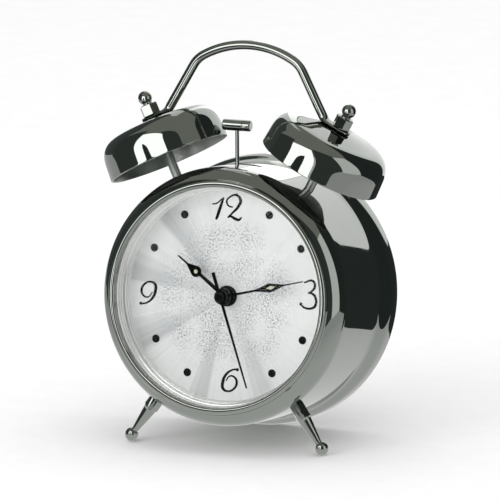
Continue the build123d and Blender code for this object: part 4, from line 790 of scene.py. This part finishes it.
class CLOCK_OT_metal(bpy.types.Operator):
    """Bend the handle and smooth the feet and the hammer"""

    bl_idname = "clock.metal"
    bl_label = "Handle, feet and hammer"

    def execute(self, context):
        # Half of the arch: top, corner, straight leg, bend and flat end, as x and z.
        half = arc(0.0, 64.68, 41.62, 90, 60.57, 12)
        half += arc(14.549, 90.477, 12.006, 60.57, 28.81, 8)[1:]
        half += [(25.069 + 10.033 * k / 6, 96.263 - 18.251 * k / 6) for k in range(1, 6)]
        bend_start = len(half)
        half += arc(39.482, 80.422, 5.0, 208.8, 243.6, 8)
        shares = (0.1, 0.2, 0.35, 0.5, 0.65, 0.8, 0.9, 0.96, 1.0)
        half += [(37.261 + 9.89 * k, 75.942 - 4.91 * k) for k in shares]
        path = [(-x, z) for x, z in reversed(half[1:])] + half
        curve = round_curve("handle_rod", 2.05, 6)
        line = curve.splines.new("POLY")
        line.points.add(len(path) - 1)
        for knot, (x, z) in zip(line.points, path):
            knot.co = (x, bell_depth, z, 1.0)
        rod = meshed(curve)
        # Both ends are pressed flat: thinner across, wider along the hands' axis, and rounded at the tip.
        # They keep this share of their thickness and gain this share in width.
        kept, gained = 0.44, 0.83
        last = len(half) - 1
        for vertex in rod.data.vertices:
            x, y, z = vertex.co
            side = math.copysign(1.0, x)
            spot = min(range(len(half)), key=lambda k: (half[k][0] - abs(x)) ** 2 + (half[k][1] - z) ** 2)
            if spot < bend_start:
                continue
            press = min(1.0, (spot - bend_start) / 11)
            press = press * press * (3 - 2 * press)
            tip = {last: 0.45, last - 1: 0.75, last - 2: 0.92}.get(spot, 1.0)
            before = Vector(half[spot - 1])
            after = Vector(half[min(spot + 1, last)])
            along = (after - before).normalized()
            across = Vector((-along.y, along.x))
            rise = (Vector((abs(x), z)) - Vector(half[spot])).dot(across)
            move = across * rise * (kept - 1.0) * press
            wide = (y - bell_depth) * (1 + gained * press) * tip
            vertex.co = (x + side * move.x, bell_depth + wide, z + move.y)
        activate(rod)
        bpy.ops.object.shade_smooth_by_angle(angle=math.radians(50))
        settle(rod, "bent_handle", Matrix.Identity(4), "clock", "nickel", ["handle"])
        smooth_copy("foot_left", "clock", "nickel", 25.0)
        smooth_copy("foot_right", "clock", "nickel", 25.0)
        smooth_copy("hammer_head", "hammer", "nickel")
        smooth_copy("hammer_arm", "hammer", "nickel")
        return {"FINISHED"}


class CLOCK_OT_back(bpy.types.Operator):
    """Smooth the back's mouldings and add its bead, grip ribs and plain marks"""

    bl_idname = "clock.back"
    bl_label = "Back"

    def execute(self, context):
        for node, body in (("rear_cover", "clock"), ("time_knob", "time_set"), ("alarm_knob", "alarm_set"),
                           ("alarm_switch", "switch"), ("battery_door", "door")):
            smooth_copy(node, body, "black_plastic", 28.0)
        # A moulded bead runs round the cover inside the ring of screws.
        bead = lathe([(52.6, 61.3)] + arc(53.2, 61.35, 0.6, 180, 0, 8) + [(53.8, 61.3), (52.6, 61.3)], 160)
        settle(bead, "cover_bead", along_hands, "clock", "black_plastic")
        # Grip ribs under the door's finger notch.
        ribs = []
        for index in range(5):
            deselect()
            bpy.ops.mesh.primitive_cube_add(size=1.0)
            rib = context.active_object
            edit_all()
            bpy.ops.transform.resize(value=(14.0 - 1.2 * index, 1.0, 0.9))
            bpy.ops.mesh.bevel(offset=0.28, segments=4, affect="EDGES")
            bpy.ops.object.mode_set(mode="OBJECT")
            bpy.ops.object.shade_smooth_by_angle(angle=math.radians(40))
            rib.location = (0.0, 61.4, -24.0 - 2.0 * index)
            ribs.append(rib)
        settle(join(ribs), "door_grip_ribs", Matrix.Identity(4), "door", "black_plastic")
        # Seen from behind: a curved arrow over each knob, and a dot and a circle beside the switch.
        on_back = Matrix.Translation((0, 61.42, 0)) @ Matrix.Rotation(math.radians(180), 4, "Z") @ on_dial
        marks = []
        for x in (-13.0, 13.0):
            bow = [(x + dx, z) for dx, z in arc(0.0, 0.0, 8.4, 140, 40, 8)]
            marks.append(stroke(bow, [0.24] * len(bow), "arrow_bow"))
            tip = bow[-1]
            head = [(tip[0] - 0.2, tip[1] + 2.0), tip, (tip[0] - 2.0, tip[1] + 0.1)]
            marks.append(stroke(head, [0.2, 0.28, 0.2], "arrow_head"))
        marks.append(ball(-9.5, 22.0, 0.9))
        circle = [(9.5 + dx, 22.0 + dz) for dx, dz in arc(0.0, 0.0, 0.95, 0, 350, 10)]
        marks.append(stroke(circle, [0.17] * len(circle), "open_circle"))
        settle(join(marks), "back_marks", on_back, "clock", "pale_print")
        return {"FINISHED"}


class CLOCK_OT_finishes(bpy.types.Operator):
    """Give every solid the finish of its slot"""

    bl_idname = "clock.finishes"
    bl_label = "Finishes of the solids"

    def execute(self, context):
        for part in frame["record"]["subparts"]:
            node = frame["nodes"][part["node"]]
            node.data.materials.clear()
            node.data.materials.append(finish(part["material_slot"]))
        return {"FINISHED"}


def bearing_point(degrees, distance):
    """A point on the table, by its bearing from the front towards the right and its distance."""
    turn = math.radians(degrees)
    return Vector((math.sin(turn), -math.cos(turn), 0)) * distance


class CLOCK_OT_stage(bpy.types.Operator):
    """Set the floor, the cards, the lamps and the camera"""

    bl_idname = "clock.stage"
    bl_label = "Stage"

    def execute(self, context):
        scene = context.scene
        scene.view_settings.view_transform = "Standard"
        world = bpy.data.worlds.new("white_room")
        world.use_nodes = True
        scene.world = world
        tree = world.node_tree
        tree.nodes.clear()
        path = add(tree, "ShaderNodeLightPath", {})
        seen = add(tree, "ShaderNodeMath", {
            0: path.outputs["Is Camera Ray"], 1: path.outputs["Is Glossy Ray"],
        }, operation="MAXIMUM")
        shown = add(tree, "ShaderNodeMath", {
            0: seen.outputs[0], 1: path.outputs["Is Transmission Ray"],
        }, operation="MAXIMUM")
        level = add(tree, "ShaderNodeMapRange", {"Value": shown.outputs[0], "To Min": 0.87, "To Max": 1.0})
        sky = add(tree, "ShaderNodeBackground", {"Color": (1, 1, 1, 1), "Strength": level.outputs[0]})
        out = add(tree, "ShaderNodeOutputWorld", {})
        tree.links.new(sky.outputs[0], out.inputs["Surface"])

        deselect()
        bpy.ops.mesh.primitive_plane_add(size=6.0, location=(0, 0.4, -0.0002))
        floor = context.active_object
        floor.name = "floor"
        material, tree, output = fresh_material("white_paper_floor")
        place = add(tree, "ShaderNodeTexCoord", {}).outputs["Object"]
        fibre = add(tree, "ShaderNodeTexNoise", {"Vector": place, "Scale": 90.0, "Detail": 2.0})
        tone = add(tree, "ShaderNodeMix", {
            0: fibre.outputs["Fac"], 6: opaque(linear("f4f4f4")), 7: opaque(linear("fafafa")),
        }, data_type="RGBA")
        paper = add(tree, "ShaderNodeBsdfPrincipled", {"Base Color": tone.outputs[2], "Roughness": 0.9})
        tree.links.new(paper.outputs[0], output.inputs["Surface"])
        floor.data.materials.append(material)

        # The metal doesn't mirror the floor but a card just under it.
        floor.visible_glossy = False
        # Cards round the clock, seen only in its metal and lens: where each begins and ends, in degrees from
        # the front towards the right and metres from the middle, its lower and upper edge, its brightness.
        for name, start, from_middle, end, to_middle, low, high, level in (
            ("card_front_dark", 10, 0.45, 57, 0.55, 0.0, 0.55, 0.08),
            ("card_right_light", 57, 0.5, 93, 0.45, 0.0, 0.46, 1.1),
            ("card_right_dark", 93, 0.42, 150, 0.22, 0.0, 0.42, 0.045),
            ("card_right_low", 100, 0.0965, 140, 0.148, 0.028, 0.06, 0.045),
            ("card_back_low", 134, 0.165, 166, 0.12, 0.0, 0.083, 0.045),
            ("card_back_pale", 143, 0.32, 187, 0.3, 0.0, 0.45, 1.2),
            ("card_back_strip", 187, 0.26, 200, 0.26, 0.0, 0.4, 2.2),
            ("card_back_left", 200, 0.3, 216, 0.45, 0.0, 0.95, 1.1),
            ("card_left_dark", 214, 0.75, 268, 0.75, 0.0, 0.9, 0.1),
            ("card_left_black", 268, 0.6, 318, 0.27, 0.0, 0.45, 0.08),
            ("card_window", 318, 0.27, 370, 0.27, 0.06, 0.33, 3.2),
            ("card_window_sill", 318, 0.27, 370, 0.27, 0.0, 0.06, 0.6),
            ("card_lens_flag", 331, 0.23, 354, 0.23, 0.05, 0.185, 0.06),
            ("card_ceiling", 0, 0, 0, 0, 0.96, 0.96, 0.34),
            ("card_table", 0, 0, 0, 0, -0.0004, -0.0004, 0.62),
        ):
            deselect()
            bpy.ops.mesh.primitive_plane_add(size=1.0)
            card = context.active_object
            card.name = name
            if low == high:
                card.data.transform(Matrix.Translation((0, 0, low)) @ Matrix.Scale(6.0, 4))
            else:
                near = bearing_point(start, from_middle)
                far = bearing_point(end, to_middle)
                along = far - near
                middle = (near + far) / 2 + Vector((0, 0, (low + high) / 2))
                upright = Matrix.Rotation(math.radians(90), 4, "X")
                turn = Matrix.Rotation(math.atan2(along.y, along.x), 4, "Z") @ upright
                size = Matrix.Diagonal((along.length, high - low, 1, 1))
                card.data.transform(Matrix.Translation(middle) @ turn @ size)
            material, tree, output = fresh_material(name)
            # The ceiling is a little warm, and the dark cards a little green.
            tint = (1.0, 1.0, 1.0, 1.0)
            if name == "card_ceiling":
                tint = (0.98, 1.0, 0.9, 1.0)
            elif level < 0.2:
                tint = (0.85, 1.0, 0.95, 1.0)
            if name == "card_table":
                # The table is lit brightest close to the clock.
                place = add(tree, "ShaderNodeTexCoord", {}).outputs["Object"]
                away = add(tree, "ShaderNodeVectorMath", {0: place}, operation="LENGTH")
                level = add(tree, "ShaderNodeMapRange", {
                    "Value": away.outputs["Value"], "From Min": 0.1, "From Max": 0.26,
                    "To Min": 0.85, "To Max": level,
                }).outputs[0]
            glow = add(tree, "ShaderNodeEmission", {"Color": tint, "Strength": level})
            tree.links.new(glow.outputs[0], output.inputs["Surface"])
            material.cycles.emission_sampling = "NONE"
            card.data.materials.append(material)
            for ray in ("camera", "diffuse", "transmission", "shadow"):
                setattr(card, f"visible_{ray}", False)

        for name, place, aim, size, power in (
            ("overhead_softbox", (0.1, 0.1, 1.8), (0, 0.1, 0.0), 1.8, 9.0),
            ("front_softbox", (-0.9, -1.4, 0.9), (0, 0, 0.08), 0.9, 6.0),
        ):
            lamp = bpy.data.lights.new(name, "AREA")
            lamp.size = size
            lamp.energy = power
            holder = bpy.data.objects.new(name, lamp)
            holder.visible_glossy = False
            scene.collection.objects.link(holder)
            away = Vector(place) - Vector(aim)
            aimed = away.to_track_quat("Z", "Y").to_matrix().to_4x4()
            holder.matrix_world = Matrix.Translation(place) @ aimed

        # The camera in the clock's own frame: degrees to the right of the hands' axis, above it and of roll.
        # It stands 5 m off with a long lens.
        azimuth, height, roll = (math.radians(value) for value in (22.04, 4.78, 2.06))
        distance = 5.0
        side = Vector((math.cos(azimuth), math.sin(azimuth), 0))
        outward = Vector((math.sin(azimuth), -math.cos(azimuth), 0))
        upward = Vector((0, 0, 1))
        back = outward * math.cos(height) + upward * math.sin(height)
        rise = upward * math.cos(height) - outward * math.sin(height)
        right = side * math.cos(roll) + rise * math.sin(roll)
        up = rise * math.cos(roll) - side * math.sin(roll)
        turn = stand.to_quaternion().to_matrix()
        axes = Matrix((turn @ right, turn @ up, turn @ back)).transposed().to_4x4()
        lens = bpy.data.cameras.new("camera")
        lens.lens = 846.56
        lens.sensor_width = 36.0
        lens.clip_end = 50.0
        camera = bpy.data.objects.new("camera", lens)
        scene.collection.objects.link(camera)
        target = stand @ Vector((6.64, 20.0, 19.57))
        camera.matrix_world = Matrix.Translation(target + turn @ back * distance) @ axes
        scene.camera = camera
        return {"FINISHED"}


class CLOCK_PT_panel(bpy.types.Panel):
    """Lists the steps that dress the clock"""

    bl_idname = "CLOCK_PT_panel"
    bl_label = "Clock"
    bl_space_type = "VIEW_3D"
    bl_region_type = "UI"
    bl_category = "Clock"

    def draw(self, context):
        for step in steps:
            self.layout.operator(step.bl_idname)


steps = (
    CLOCK_OT_finishes,
    CLOCK_OT_case,
    CLOCK_OT_front,
    CLOCK_OT_dial,
    CLOCK_OT_hands,
    CLOCK_OT_bells,
    CLOCK_OT_metal,
    CLOCK_OT_back,
    CLOCK_OT_stage,
)
classes = (ClockSizes, ClockFinishes, *steps, CLOCK_PT_panel)


def register():
    for cls in classes:
        bpy.utils.register_class(cls)
    bpy.types.Scene.clock_sizes = PointerProperty(type=ClockSizes)
    bpy.types.Scene.clock_finishes = PointerProperty(type=ClockFinishes)


def unregister():
    del bpy.types.Scene.clock_finishes
    del bpy.types.Scene.clock_sizes
    for cls in reversed(classes):
        bpy.utils.unregister_class(cls)


def main():
    register()
    bpy.ops.clock.finishes()
    bpy.ops.clock.case()
    bpy.ops.clock.front()
    bpy.ops.clock.dial()
    bpy.ops.clock.hands()
    bpy.ops.clock.bells()
    bpy.ops.clock.metal()
    bpy.ops.clock.back()
    bpy.ops.clock.stage()


if __name__ == "__main__":
    main()
